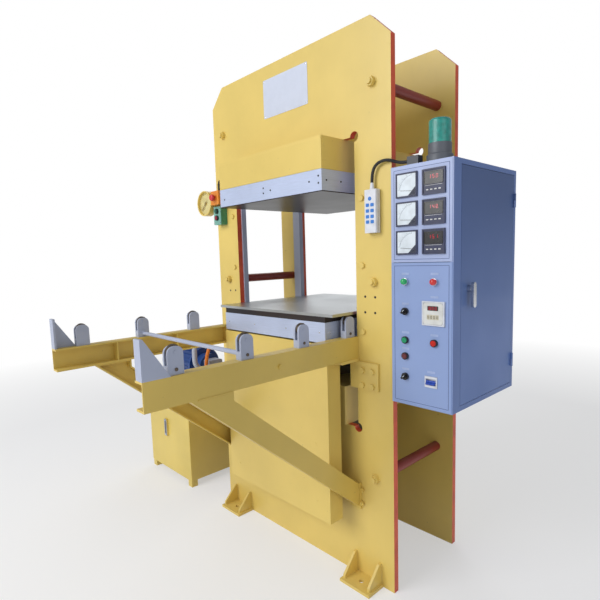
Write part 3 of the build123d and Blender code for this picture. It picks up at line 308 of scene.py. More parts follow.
black_rubber = moulded("black_rubber", "cable_black", tone(34, 34, 36), 0.55, 500.0, 0.25)


def heated_steel():
    """Platen steel browned by heat in patches, smoother on its flat faces, with painted shade on its
    underside.
    """
    look = Look("platen_steel", "hot_face")
    _, _, top = look.facing()
    heat = look.cloud(3.4, 5.0)
    lines = look.cloud(14.0, 3.0, (1.0, 30.0, 1.0))
    shade = look.mix(heat.rising(0.35, 0.68), tone(40, 38, 42), tone(58, 46, 42))
    # Painted shade: faces that look down are darkened to near black.
    shade = look.mix(top < -0.5, shade, tone(24, 22, 25))
    face = abs(top).rising(0.5, 0.9)
    roughness = 0.46 - 0.16 * face + 0.14 * heat
    normal = look.relief(lines, 0.0002, 0.2)
    return look.finish(Base_Color=shade, Roughness=roughness, Metallic=0.35, Normal=normal)


def braided_hose():
    """Orange hydraulic hose: a fine rubbed grain over slow changes of tone."""
    look = Look("hose_cover", "hose_orange")
    weave = look.cloud(420.0, 2.0)
    broad = look.cloud(16.0, 4.0)
    shade = look.mix(broad.rising(0.35, 0.7), tone(236, 136, 40), tone(206, 104, 30))
    normal = look.relief(weave, 0.0005, 0.35)
    return look.finish(Base_Color=shade, Roughness=0.5, Normal=normal)


def lens(name, slot, colour, glow, ribs=0.0):
    """A coloured lens lit a little from behind, with a grid of prisms as high as sin(ribs x) sin(ribs z)."""
    look = Look(name, slot)
    depth = look.cloud(60.0, 2.0)
    shade = look.mix(depth.rising(0.3, 0.7), colour, dimmed(colour, 0.6))
    prisms = look.maths("SINE", look.across * ribs) * look.maths("SINE", look.up * ribs)
    normal = look.relief(prisms, 0.0008, 0.5 if ribs else 0.0)
    return look.finish(
        Base_Color=shade, Roughness=0.08, Normal=normal, Coat_Weight=0.6,
        Emission_Color=shade, Emission_Strength=glow,
    )


platen_steel = heated_steel()
hose_cover = braided_hose()
beacon_teal = lens("beacon_teal", "lens_teal", tone(30, 150, 138), 0.12, 900.0)
lamp_green = lens("lamp_green", "button_green", tone(24, 168, 96), 0.25)
lamp_red = lens("lamp_red", "button_red", tone(216, 40, 34), 0.25)
digit_red = lens("digit_red", "button_red", tone(210, 40, 60), 0.45)


def stop_paint():
    """The stop box's orange shell, and above it the black rubber of its cable."""
    look = Look("stop_shell", "stop_orange")
    cable_foot, blend = 1.9200, 0.0004
    cable = look.up.rising(cable_foot, cable_foot + blend)
    orange = look.mix(look.cloud(22.0, 4.0).rising(0.3, 0.7), tone(236, 150, 62), tone(226, 134, 44))
    shade = look.mix(cable, orange, tone(30, 30, 32))
    normal = look.relief(look.cloud(700.0, 2.0), 0.0002, 0.2)
    return look.finish(Base_Color=shade, Roughness=0.38 + 0.2 * cable, Normal=normal)


def dial_paint():
    """Cream gauge face: an even print with faint patches of age."""
    look = Look("dial_face", "gauge_yellow")
    shade = look.mix(look.cloud(24.0, 4.0).rising(0.3, 0.75), tone(224, 211, 148), tone(208, 194, 134))
    return look.finish(Base_Color=shade, Roughness=0.4 + 0.1 * look.cloud(80.0))


def station_paint():
    """The push-button station: a green shell with a paler lid, and black bezels that stand out of the lid."""
    look = Look("station_shell", "station_green")
    lid_front = -0.3215
    front = look.facing()[1]
    grime = look.cloud(30.0, 4.0).rising(0.42, 0.80)
    shade = look.mix(front < -0.5, tone(66, 144, 112), tone(128, 184, 170))
    shade = look.mix(look.along < lid_front, shade, tone(28, 34, 34))
    shade = look.mix(grime * 0.2, shade, tone(50, 90, 80))
    normal = look.relief(look.cloud(900.0, 2.0), 0.0002, 0.14)
    return look.finish(Base_Color=shade, Roughness=0.36 + 0.12 * grime, Normal=normal)


def cabinet_enamel():
    """Cabinet enamel: a paler film on the upper panel, painted shade in deeper blue on the +X side, a dark
    gland on the top.
    """
    look = Look("cabinet_paint", "cabinet_blue")
    panel_split, panel_back, cabinet_top = 1.488, -0.275, 1.8725
    side = look.facing()[0]
    drift = look.cloud(3.0, 4.0).rising(0.3, 0.7)
    upper_panel = (look.up > panel_split) * (look.along < panel_back)
    shade = look.mix(upper_panel, tone(146, 168, 216), tone(172, 186, 224))
    # Painted shade: faces that look towards +X are a deeper blue.
    shade = look.mix(side > 0.5, shade, tone(98, 126, 186))
    shade = look.mix(look.up > cabinet_top, shade, tone(44, 46, 52))
    shade = look.mix(drift * 0.12, shade, tone(74, 96, 150))
    normal = look.relief(look.cloud(420.0, 2.0), 0.0004, 0.18)
    return look.finish(Base_Color=shade, Roughness=0.40 + 0.1 * drift, Normal=normal, Coat_Weight=0.1)


def shaded_door_enamel():
    """The side door's blue, deepened all over as painted shade of the shaded side, with more painted shade
    under its top and paler lower down.
    """
    look = Look("shaded_door_paint", "cabinet_blue")
    drift = look.cloud(3.0, 4.0).rising(0.3, 0.7)
    # Painted shade: the door's blue is deeper than the front's, and deepest near its top.
    shade = look.mix(look.up.rising(1.15, 1.80), tone(100, 130, 192), tone(72, 98, 150))
    shade = look.mix(drift * 0.12, shade, tone(60, 78, 120))
    normal = look.relief(look.cloud(420.0, 2.0), 0.0004, 0.18)
    return look.finish(Base_Color=shade, Roughness=0.42 + 0.1 * drift, Normal=normal, Coat_Weight=0.1)


def fittings_metal():
    """Bright lamp bezels in the top row, and the black bezels of the buttons below it."""
    look = Look("panel_fittings", "handle_chrome")
    lamps = look.up > 1.38
    haze = look.cloud(60.0, 3.0)
    shade = look.mix(lamps, tone(34, 34, 38), tone(210, 214, 220))
    normal = look.relief(look.cloud(700.0, 2.0), 0.0001, 0.1)
    return look.finish(Base_Color=shade, Roughness=0.18 + 0.12 * haze, Metallic=0.9 * lamps, Normal=normal)


def device_plastic():
    """Dark instrument cases, and below them the pale cases of the timer and the breaker."""
    look = Look("device_cases", "device_dark")
    pale = look.up < 1.40
    grime = look.cloud(30.0, 4.0).rising(0.4, 0.8)
    shade = look.mix(pale, tone(44, 50, 84), tone(220, 224, 232))
    shade = look.mix(grime * 0.25, shade, tone(90, 88, 82))
    normal = look.relief(look.cloud(900.0, 2.0), 0.0002, 0.14)
    return look.finish(Base_Color=shade, Roughness=0.36 + 0.1 * grime, Normal=normal)


cabinet_paint = cabinet_enamel()
shaded_door_paint = shaded_door_enamel()
panel_metal = fittings_metal()
device_cases = device_plastic()
stop_shell = stop_paint()
station_shell = station_paint()
dial_face = dial_paint()

finishes = (
    (plate_paint, "front_plate rear_plate"), (cover_paint, "upper_cover lower_cover"),
    (body_paint, "tie_rods feet upper_beam lower_beam rail_brackets"), (rod_paint, "spacer_tubes"),
    (rail_paint, "left_rail right_rail rail_braces"), (post_paint, "guide_bars end_stops roller_posts"),
    (platen_steel, "upper_hot_plate lower_hot_plate"), (guard_sheet, "upper_guard lower_guard"),
    (cylinder_iron, "cylinder"), (ram_chrome, "ram"), (table_iron, "moving_table"),
    (tray_sheet, "sliding_tray"), (tank_paint, "oil_tank"), (motor_paint, "motor"),
    (pipe_paint, "pump oil_pipe"),
    (cabinet_paint, "cabinet"), (shaded_door_paint, "cabinet_door"), (bright_chrome, "door_handle"),
    (device_cases, "panel_devices"), (panel_metal, "panel_fittings"), (pendant_shell, "pendant"),
    (beacon_shell, "beacon_base"), (beacon_teal, "beacon_lens"), (station_shell, "start_box"),
    (stop_shell, "stop_box"), (gauge_paint, "pressure_gauge"), (glare_faded_ink, "gauge_needle"),
    (green_cap, "green_button"), (red_cap, "red_button"), (dull_red_cap, "reset_button"),
    (start_cap, "start_button"), (halt_cap, "stop_button"), (stop_cap, "emergency_button"),
    (black_knob, "upper_selector lower_selector motor_fan"), (toggle_blue, "breaker_toggle"),
)
node_looks = {name: look for look, names in finishes for name in names.split()}
for name, node in nodes.items():
    look = node_looks.get(name, turned_steel)
    node.data.materials.clear()
    node.data.materials.append(look.material)


# Surfaces
def sheet(grid, around=False, ends=False):
    """A grid of points, row by row, as quads.

    around joins the last column to the first, and ends caps both ends.
    """
    rows, columns = grid.shape[:2]
    index = np.arange(rows * columns).reshape(rows, columns)
    after = np.roll(index, -1, axis=1) if around else index[:, 1:]
    before = index if around else index[:, :-1]
    quads = np.stack([before[:-1], after[:-1], after[1:], before[1:]], axis=-1).reshape(-1, 4).tolist()
    if ends:
        quads += [index[0, ::-1].tolist(), index[-1].tolist()]
    return grid.reshape(-1, 3), quads


def lathe(profile, steps=32, phase=0.0):
    """Turns rows of (radius, height) about the local third axis: x = r cos a, y = r sin a, z = h."""
    radius, height = np.array(profile, float).T
    angle = phase + tau * np.arange(steps) / steps
    ring = np.stack([np.cos(angle), np.sin(angle), np.zeros(steps)], axis=-1)
    grid = radius[:, None, None] * ring + height[:, None, None] * np.array([0, 0, 1])
    return sheet(grid, around=True, ends=True)


def hoop(profile, steps=64):
    """Turns a closed outline of (radius, height) as lathe does, with its last row joined to the first."""
    points, faces = lathe(profile, steps)
    first = np.arange(steps)
    last = first + len(points) - steps
    joined = np.stack([last, np.roll(last, -1), np.roll(first, -1), first], axis=-1)
    return points, faces[:-2] + joined.tolist()


least_corner = 1e-5


def rounded(width, height, corner, arc=6):
    """A rectangle's outline whose corners are quarter circles of the corner radius."""
    turn = np.linspace(0, np.pi / 2, arc)
    quarter = np.arange(4)[:, None] * np.pi / 2
    centre = np.array([[1, 1], [-1, 1], [-1, -1], [1, -1]]) * (np.array([width, height]) / 2 - corner)
    ring = np.stack([np.cos(turn + quarter), np.sin(turn + quarter)], axis=-1) * corner
    return (ring + centre[:, None]).reshape(-1, 2)


def slab(width, height, low, high, corner, bevel):
    """A rounded block between two levels: its outline shrinks by the bevel at both faces."""
    inset = np.array([bevel, 0, 0, bevel])
    level = np.array([low, low + bevel, high - bevel, high])
    outline = np.stack([
        rounded(width - 2 * step, height - 2 * step, max(corner - step, least_corner)) for step in inset
    ])
    grid = np.concatenate([outline, np.broadcast_to(level[:, None, None], (*outline.shape[:2], 1))], axis=-1)
    return sheet(grid, around=True, ends=True)


def pan(width, height, low, high, corner, rim, depth):
    """A rounded block with its upper face sunk inside a rim: up the outside, over the rim and down within."""
    outer = rounded(width, height, corner)
    inner = rounded(width - 2 * rim, height - 2 * rim, max(corner - rim, least_corner))
    rows = [(outer, low), (outer, high), (inner, high), (inner, high - depth)]
    grid = np.stack([np.column_stack([outline, np.full(len(outline), level)]) for outline, level in rows])
    return sheet(grid, around=True, ends=True)


def hexagon(flats, height, corner=0.12):
    """A bolt's head: a six-sided bar whose top corners are turned off at a shallow cone."""
    reach = flats / 2 / np.cos(np.pi / 6)
    return lathe([(reach, 0), (reach, height * (1 - corner)), (reach * 0.90, height)], 6, np.pi / 6)


def strokes(starts, ends, width, low, high):
    """Thin bars from each start to each end on a flat face, from one level to another, all at once."""
    starts, ends = np.array(starts, float), np.array(ends, float)
    run = ends - starts
    run /= np.linalg.norm(run, axis=1, keepdims=True)
    side = np.stack([-run[:, 1], run[:, 0]], axis=-1) * width / 2
    base = np.stack([starts - side, ends - side, ends + side, starts + side], axis=1)
    rings = [np.pad(base, ((0, 0), (0, 0), (0, 1)), constant_values=level) for level in (low, high)]
    points = np.stack(rings, axis=1).reshape(-1, 3)
    block = np.array([[3, 2, 1, 0], [4, 5, 6, 7], [0, 1, 5, 4], [1, 2, 6, 5], [2, 3, 7, 6], [3, 0, 4, 7]])
    faces = (block[None] + 8 * np.arange(len(starts))[:, None, None]).reshape(-1, 4).tolist()
    return points, faces


def bead(start, end, radius, pitch=0.006, steps=8):
    """A weld run: a round bar whose radius ripples with s along it, r (1 + 0.16 sin(2 pi s / pitch))."""
    start, end = np.array(start, float), np.array(end, float)
    length = np.linalg.norm(end - start)
    along = (end - start) / length
    side = np.cross(along, [0.31, 0.57, 0.76])
    side /= np.linalg.norm(side)
    over = np.cross(along, side)
    place = np.linspace(0, length, max(8, int(length / pitch * 5)))
    swell = radius * (1 + 0.16 * np.sin(tau * place / pitch))
    angle = tau * np.arange(steps) / steps
    ring = np.cos(angle)[:, None] * side + np.sin(angle)[:, None] * over
    grid = start + place[:, None, None] * along + swell[:, None, None] * ring
    return sheet(grid, around=True, ends=True)


def axes(direction):
    """The three local axes of a face that looks along a direction, as rows."""
    return np.array({
        "-Y": [(1, 0, 0), (0, 0, 1), (0, -1, 0)],
        "+Y": [(-1, 0, 0), (0, 0, 1), (0, 1, 0)],
        "+X": [(0, 1, 0), (0, 0, 1), (1, 0, 0)],
        "-X": [(0, -1, 0), (0, 0, 1), (-1, 0, 0)],
        "+Z": [(1, 0, 0), (0, 1, 0), (0, 0, 1)],
    }[direction], float)


def put(shape, origin, direction="-Y", turn=0.0):
    """Moves a shape's own axes onto a face, after a turn about the face's outward line."""
    points, faces = shape
    spin = np.array([[np.cos(turn), np.sin(turn), 0], [-np.sin(turn), np.cos(turn), 0], [0, 0, 1]])
    return points @ spin @ axes(direction) + np.array(origin, float), faces


def scatter(shape, origins, direction="-Y", turn=0.0):
    """Puts a copy of a shape at each origin."""
    return [put(shape, origin, direction, turn) for origin in origins]


def piece(name, shapes, look, body="frame", smooth=35):
    """Joins shapes into one object that rides on a body."""
    points, faces, count = [], [], 0
    for shape_points, shape_faces in shapes:
        points.append(shape_points)
        faces += [[corner + count for corner in face] for face in shape_faces]
        count += len(shape_points)
    mesh = bpy.data.meshes.new(name)
    mesh.from_pydata(np.concatenate(points).tolist(), [], faces)
    mesh.validate()
    mesh.shade_smooth()
    mesh.set_sharp_from_angle(angle=math.radians(smooth))
    mesh.materials.append(look.material)
    made = bpy.data.objects.new(name, mesh)
    bpy.context.scene.collection.objects.link(made)
    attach(made, body)
    return made


# Measures that the dressing shares with the CAD model
plate_front, plate_rear = -0.275, 0.275
panel = -0.282
columns = (0.702, 0.821)
rows = (1.794, 1.681, 1.568)
left_column, right_column = 0.693, 0.824
case_height, glass_recess = 0.008, 0.003
face_recess = panel - case_height + glass_recess

# Small bolts, screws and tapped holes
guide_bolts = [(x, z) for x in (-0.470, 0.470) for z in (1.770, 1.478, 1.183)]
small_hex = hexagon(0.024, 0.010)
piece(
    "guide_bar_bolts",
    scatter(small_hex, [(x, plate_front, z) for x, z in guide_bolts])
    + scatter(small_hex, [(x, plate_rear, z) for x, z in guide_bolts], "+Y"),
    body_paint,
)
tapped = [(-0.527, 1.339), (-0.476, 1.341), (0.482, 1.341), (0.536, 1.340), (0.481, 1.271), (0.535, 1.271)]
# Painted shade: a thin black disc at each tapped hole stands for the shade inside the hole.
hole_shade_disc = lathe([(0.0055, 0), (0.0055, 0.0004), (0.004, 0.0005)], 20)
piece("tapped_holes", scatter(hole_shade_disc, [(x, plate_front, z) for x, z in tapped]), black_ink)
round_screw = lathe([(0.0042, 0), (0.0040, 0.0013), (0.0030, 0.0022), (0.0014, 0.0026)], 16)
front_edge, side_edge = -0.425, 0.375
guard_screws = [(x, front_edge, z) for x, z in (
    (-0.335, 1.842), (-0.012, 1.862), (-0.012, 1.838), (0.040, 1.846), (0.300, 1.850), (0.356, 1.868),
    (0.356, 1.838),
)]


def side_screws(places, height):
    """Round screws on both sides of a platen, at places along Y."""
    right = scatter(round_screw, [(side_edge, y, height) for y in places], "+X")
    return right + scatter(round_screw, [(-side_edge, y, height) for y in places], "-X")


piece(
    "upper_guard_screws",
    scatter(round_screw, guard_screws) + side_screws((-0.395, -0.300, 0.0, 0.300, 0.395), 1.850),
    black_ink,
)
lower_guard_height = 1.186
lower_screws = [(x, front_edge, lower_guard_height) for x in (-0.34, -0.12, 0.12, 0.34)]
piece(
    "lower_guard_screws",
    scatter(round_screw, lower_screws) + side_screws((-0.395, -0.300, 0.0, 0.300), lower_guard_height),
    bright_chrome, "platen",
)
piece(
    "cover_screws",
    scatter(round_screw, [(x, front_edge, z) for x in (-0.30, 0.30) for z in (0.380, 0.660)])
    + scatter(round_screw, [(side_edge, y, z) for y in (-0.405, -0.295) for z in (1.935, 2.000)], "+X"),
    cover_paint,
)
rail_bolt, brace_bolt = hexagon(0.019, 0.008), hexagon(0.019, 0.009)
rail_side, brace_bolt_side = 0.440, 0.4545
piece(
    "rail_bolts",
    [put(rail_bolt, (rail_side, -0.755, 1.106), "+X"), put(rail_bolt, (-rail_side, -0.755, 1.106), "-X")]
    + scatter(brace_bolt, [(sx * brace_bolt_side, -0.281, z) for sx in (-1, 1) for z in (0.368, 0.435)]),
    rail_paint,
)

# Square feet of the roller posts, a hair proud of the posts, and the screws through them
post_rows, post_side, rail_top = (-0.320, -0.6117, -0.9033, -1.195), 0.415, 1.158
foot_side, foot_screw_height = 0.4308, 1.176
post_foot = slab(0.0316, 0.0586, 0, 0.028, 0.0008, 0.0003)
post_places = [(x, y, rail_top) for x in (-post_side, post_side) for y in post_rows]
piece("post_feet", scatter(post_foot, post_places, "+Z"), post_paint)
foot_screw = lathe([(0.006, 0), (0.006, 0.003), (0.0035, 0.0045)], 16)
foot_screws = [(foot_side, y, foot_screw_height) for y in post_rows]
piece("post_screws", scatter(foot_screw, foot_screws, "+X"), turned_steel)

# Nameplate's place, bare
nameplate_thickness = 0.0015
nameplate = slab(0.320, 0.190, 0, nameplate_thickness, 0.006, 0.0004)
piece("blank_nameplate", [put(nameplate, (0, plate_front, 2.337))], blank_plate)
rivet = lathe([(0.004, 0), (0.0036, 0.0012), (0.0018, 0.002)], 16)
rivets = [(x, plate_front - nameplate_thickness, z) for x in (-0.152, 0.152) for z in (2.250, 2.424)]
piece("nameplate_rivets", scatter(rivet, rivets), bright_chrome)

# Welds
base_height, upright_low, upright_high = 0.0145, 0.016, 0.110
foot_welds = []
for sx in (-1, 1):
    for sy in (-1, 1):
        face = sy * plate_rear
        for gusset in (0.404, 0.416, 0.544, 0.556):
            x, near, far = sx * gusset, face + sy * 0.002, face + sy * 0.094
            foot_welds.append(bead((x, face, upright_low), (x, face, upright_high), 0.0032))
            foot_welds.append(bead((x, near, base_height), (x, far, base_height), 0.0030))
piece("foot_welds", foot_welds, body_paint)
rail_foot, rail_weld_side, rail_weld_run = 1.0575, 0.4405, 0.14
bracket_top, bracket_side = 1.0455, 0.3992
rail_welds = [
    bead((x, y, rail_foot), (x, y - rail_weld_run, rail_foot), 0.0028)
    for x in (-rail_weld_side, rail_weld_side) for y in (-0.985, -0.300)
]
rail_welds += [
    bead((x, -0.279, bracket_top), (x, -0.390, bracket_top), 0.0026) for x in (-bracket_side, bracket_side)
]
piece("rail_welds", rail_welds, rail_paint)


# Instruments on the panel
def meter_faces():
    """Three analog meters: a pale card, a faint arc of ticks, a needle at rest and a dark lower corner."""
    cards, ticks, needles, corners = [], [], [], []
    pivot, radius, needle_share = np.array([0.031, -0.026]), 0.062, 0.95
    angle = np.linspace(np.radians(96), np.radians(172), 21)
    long = np.where(np.arange(21) % 5 == 0, 0.0085, 0.0045)[:, None]
    out = np.stack([np.cos(angle), np.sin(angle)], axis=-1)
    arc = pivot + out * radius
    card = slab(0.084, 0.084, 0.0, 0.0008, 0.003, 0.0002)
    marks = strokes(arc, pivot + out * (radius + long), 0.0007, 0.0008, 0.0010)
    rule = strokes(arc[:-1], arc[1:], 0.0006, 0.0008, 0.0010)
    wedge = np.array([(0.042, -0.042), (0.042, -0.010), (0.010, -0.042)])
    levels = [np.pad(wedge, ((0, 0), (0, 1)), constant_values=level) for level in (0.0020, 0.0034)]
    corner = np.concatenate(levels), [[1, 2, 0], [5, 4, 3], [3, 4, 1, 0], [4, 5, 2, 1], [5, 3, 0, 2]]
    zero_screw, screw_offset = lathe([(0.005, 0.0034), (0.005, 0.005), (0.003, 0.0056)], 20), 0.031
    for z, reading in zip(rows, (174, 176, 175)):
        place = (columns[0], face_recess, z)
        cards.append(put(card, place))
        ticks += [put(marks, place), put(rule, place)]
        aim = np.array([np.cos(np.radians(reading)), np.sin(np.radians(reading))])
        tip = pivot + radius * needle_share * aim
        needles.append(put(strokes([pivot], [tip], 0.0012, 0.0014, 0.0020), place))
        corners.append(put(corner, place))
        corners.append(put(zero_screw, (place[0] + screw_offset, place[1], place[2] - screw_offset)))
    piece("meter_cards", cards, white_ink)
    piece("meter_scales", ticks, faint_ink)
    piece("meter_needles", needles, black_ink)
    piece("meter_corners", corners, dark_plastic)


def digit(character, height):
    """The lit bars of a seven-bar digit, as start and end points round its centre."""
    half, wide = height / 2, height * 0.26
    bars = {
        "a": ((-wide, half), (wide, half)), "b": ((wide, half), (wide, 0)), "c": ((wide, 0), (wide, -half)),
        "d": ((-wide, -half), (wide, -half)), "e": ((-wide, 0), (-wide, -half)),
        "f": ((-wide, half), (-wide, 0)), "g": ((-wide, 0), (wide, 0)),
    }
    lit = {"0": "abcdef", "1": "bc", "4": "bcfg", "5": "acdfg", "8": "abcdefg"}[character]
    return [bars[bar] for bar in lit]


def controllers():
    """Three temperature controllers: a dark window, a lit reading, a pale rule and four small keys."""
    windows, lit, keys = [], [], []
    window = pan(0.080, 0.048, 0.0, 0.0026, 0.004, 0.003, 0.0016)
    rule = strokes([(-0.036, -0.014)], [(0.036, -0.014)], 0.0011, 0.0, 0.0006)
    key = slab(0.010, 0.0045, 0, 0.0018, 0.0015, 0.0005)
    for z, reading in zip(rows, ("150", "148", "151")):
        place = (columns[1], face_recess, z)
        windows.append(put(window, (place[0], place[1], z + 0.014)))
        starts, ends = [], []
        for slot_index, character in enumerate(reading):
            for start, end in digit(character, 0.013):
                shift = np.array([-0.015 + 0.015 * slot_index, 0.018])
                starts.append(np.array(start) + shift)
                ends.append(np.array(end) + shift)
        lit.append(put(strokes(starts, ends, 0.0017, 0.0011, 0.0015), place))
        keys.append(put(rule, place))
        key_row = [(place[0] + side, place[1], z - 0.030) for side in (-0.026, -0.009, 0.009, 0.026)]
        keys += scatter(key, key_row)
    piece("controller_windows", windows, black_knob)
    piece("controller_digits", lit, digit_red)
    piece("controller_keys", keys, pale_plastic)


def timer():
    """A digital timer: a pale rounded face, a dark window with a lit count, and four preset wheels below."""
    place = np.array((columns[1], face_recess, 1.288))
    piece("timer_face", [put(slab(0.085, 0.085, 0, 0.0035, 0.012, 0.001), place)], pale_plastic)
    window = slab(0.046, 0.018, 0, 0.0008, 0.002, 0.0002)
    piece("timer_window", [put(window, place + (0, -0.0035, 0.021))], black_knob)
    lit, wheels, marks = [], [], []
    for step in range(3):
        starts, ends = zip(*digit("0", 0.011))
        figure = strokes(starts, ends, 0.0014, 0, 0.0004)
        lit.append(put(figure, place + (-0.013 + 0.013 * step, -0.0043, 0.021)))
    for step in range(4):
        wheel = place + (-0.0195 + 0.013 * step, -0.0035, -0.014)
        wheels.append(put(slab(0.0115, 0.019, 0, 0.0010, 0.0015, 0.0003), wheel))
        starts, ends = zip(*digit("0", 0.009))
        marks.append(put(strokes(starts, ends, 0.0011, 0.0010, 0.0013), wheel))
    piece("timer_count", lit, digit_red)
    piece("timer_wheels", wheels, timer_cream)
    piece("timer_marks", marks, black_ink)


meter_faces()
controllers()
timer()

# Lamp lenses and the selectors' white bars
dome = lathe([(0.0128, 0.0), (0.0128, 0.006), (0.0112, 0.0105), (0.0078, 0.0135), (0.0030, 0.0150)], 32)
lamp_bezel, lamp_row = 0.010, 1.412
piece("green_lamp_lens", [put(dome, (left_column, panel - lamp_bezel, lamp_row))], lamp_green)
piece("red_lamp_lens", [put(dome, (right_column, panel - lamp_bezel, lamp_row))], lamp_red)
selector_bezel, selector_knob = 0.014, 0.012
pointer = strokes([(0.001, 0.001)], [(0.0078, 0.0078)], 0.0018, 0.0, 0.0004)
for node, z in (("upper_selector", 1.290), ("lower_selector", 1.018)):
    place = (left_column, panel - selector_bezel - selector_knob, z)
    piece(f"{node}_pointer", [put(pointer, place)], white_ink, node)

# Bare label strips over the controls
strip = slab(0.034, 0.009, 0, 0.0008, 0.001, 0.0002)
strips = [(left_column, z) for z in (1.443, 1.321, 1.202, 1.135, 1.049)]
strips += [(right_column, z) for z in (1.443, 1.202, 1.352)] + [(0.810, 1.052)]
piece("blank_labels", scatter(strip, [(x, panel, z) for x, z in strips]), label_film)

# Fine borders of the two front panels
borders = []
left, right = 0.641, 0.884
for low, high in ((0.913, 1.475), (1.501, 1.856)):
    ring = np.array([(left, low), (right, low), (right, high), (left, high)])
    borders.append(put(strokes(ring, np.roll(ring, -1, axis=0), 0.0018, 0, 0.0004), (0, panel, 0)))
piece("panel_borders", borders, border_ink)

# Keyhole of the swing handle
keyhole = lathe([(0.0085, 0.0), (0.0085, 0.0006), (0.0055, 0.0006), (0.0050, 0.0002)], 24)
piece("handle_key", [put(keyhole, (0.9273, -0.161, 1.380), "+X")], bright_chrome, "door_handle")

# Pendant
pendant_x, pendant_middle, pendant_face = 0.539, -0.2923, -0.3093
round_key = lathe([(0.0085, 0), (0.0085, 0.0012), (0.0065, 0.0022)], 24)
square_key = slab(0.017, 0.014, 0, 0.0020, 0.003, 0.0006)
keys = [
    (pendant_x + side, pendant_face, z) for side in (-0.012, 0.012) for z in (1.732, 1.708, 1.684, 1.662)
]
pendant_keys = [put(round_key, (pendant_x, pendant_face, 1.758))] + scatter(square_key, keys)
piece("pendant_keys", pendant_keys, blue_key)
seam = slab(0.0628, 0.1806, -0.0004, 0.0004, 0.007, 0.0002)
piece("pendant_seam", [put(seam, (pendant_x, pendant_middle, 1.706))], black_ink)

# Push-button station, stop box and gauge
station_x, station_z, station_face, lid_thickness = -0.563, 1.7815, -0.320, 0.0010
station_lid = slab(0.062, 0.095, 0.0, lid_thickness, 0.006, 0.0004)
piece("station_lid", [put(station_lid, (station_x, station_face, station_z))], station_shell)
screw = lathe([(0.0045, 0), (0.0043, 0.0012), (0.0030, 0.0022)], 16)
corners = [(x, z) for x in (-0.027, 0.027) for z in (-0.042, 0.042)]
lid_screws = [(station_x + x, station_face - lid_thickness, station_z + z) for x, z in corners]
piece("station_screws", scatter(screw, lid_screws), bright_chrome)


def gauge_dial():
    """A cream card with main and fine ticks on a three-quarter circle, and an open ring round it."""
    place, scale_radius = (-0.675, -0.319, 1.862), 0.061
    turn = np.radians(225 - 270 * np.arange(51) / 50)
    out = np.stack([np.cos(turn), np.sin(turn)], axis=-1)
    long = np.where(np.arange(51) % 5 == 0, 0.009, 0.0045)[:, None]
    card = lathe([(0.0668, 0.0), (0.0668, 0.0006), (0.0064, 0.0006), (0.0064, 0.0)], 64)
    piece("gauge_card", [put(card, place)], dial_face)
    marks = strokes(out * (scale_radius - long), out * scale_radius, 0.0011, 0.0006, 0.0010)
    piece("gauge_scale", [put(marks, place)], glare_faded_ink)
    rim = hoop([
        (0.0672, 0.0155), (0.0700, 0.0172), (0.0725, 0.0172),
        (0.0738, 0.0160), (0.0738, 0.0120), (0.0672, 0.0120),
    ])
    piece("gauge_rim", [put(rim, place)], gauge_paint)


gauge_dial()

# Beacon
band = lathe([(0.0412, 0.0040), (0.0419, 0.0055), (0.0419, 0.0075), (0.0412, 0.0090)], 48)
piece("beacon_band", [put(band, (0.812, -0.225, 1.940), "+Z")], beacon_shell)

# Power unit
level = (-1.207, -0.402, 0.355)
piece("level_window", [put(pan(0.030, 0.120, 0.0, 0.0034, 0.006, 0.003, 0.0014), level)], pipe_paint)
piece("level_oil", [put(slab(0.012, 0.090, 0.0019, 0.0028, 0.005, 0.0004), level)], black_knob)
level_bolts = [(level[0], level[1] - 0.0020, level[2] + z) for z in (-0.052, 0.052)]
piece("level_bolts", scatter(hexagon(0.009, 0.004), level_bolts), bright_chrome)
tank_top = 0.650
lid_bolts = [(x, y, tank_top) for x in (-1.455, -1.185, -0.915) for y in (-0.385, 0.105)]
piece("tank_lid_bolts", scatter(hexagon(0.013, 0.006), lid_bolts, "+Z"), tank_paint)
cap = [(0.0365, 0.030), (0.0365, 0.046), (0.034, 0.0505), (0.030, 0.052)]
piece("filler_cap", [put(lathe(cap, 48), (-1.390, 0.040, tank_top), "+Z")], black_knob)
motor_x, motor_y, motor_z = -1.390, -0.140, 0.782
shield_reach, bolt_circle = 0.3205, 0.108
shield = [
    (motor_x + shield_reach, motor_y + bolt_circle * math.cos(a), motor_z + bolt_circle * math.sin(a))
    for a in np.radians((45, 135, 225, 315))
]
piece("shield_bolts", scatter(hexagon(0.013, 0.007), shield, "+X"), motor_paint)
box_x, box_top, box_lid = -1.230, 0.964, 0.0012
lid = slab(0.104, 0.084, 0.0, box_lid, 0.006, 0.0004)
piece("terminal_lid", [put(lid, (box_x, motor_y, box_top), "+Z")], motor_paint)
box_screws = [(box_x + x, motor_y + y, box_top + box_lid) for x in (-0.044, 0.044) for y in (-0.034, 0.034)]
piece("terminal_screws", scatter(screw, box_screws, "+Z"), bright_chrome)
nut = lathe([(0.0185, 0.0), (0.0200, 0.002), (0.0200, 0.016), (0.0185, 0.018)], 6)
piece(
    "pipe_nuts",
    [put(nut, (-0.960, -0.190, 0.782), "-Y"), put(nut, (-0.2300, 0.0, 0.430), "-X")], bright_chrome,
)
hose_nut = lathe([(0.0150, 0.0), (0.0165, 0.002), (0.0165, 0.018), (0.0150, 0.020)], 6)
crimp = lathe([(0.0135, 0.018), (0.0145, 0.020), (0.0145, 0.048), (0.0130, 0.052)], 32)
hose_start, hose_end = (-0.925, -0.225, 0.680), (-0.400, -0.060, 0.850)
hose_ends = [
    piece(name, [put(hose_nut, place, direction), put(crimp, place, direction)], bright_chrome)
    for name, place, direction in (
        ("hose_lower_fitting", hose_start, "+Z"), ("hose_upper_fitting", hose_end, "-X"),
    )
]


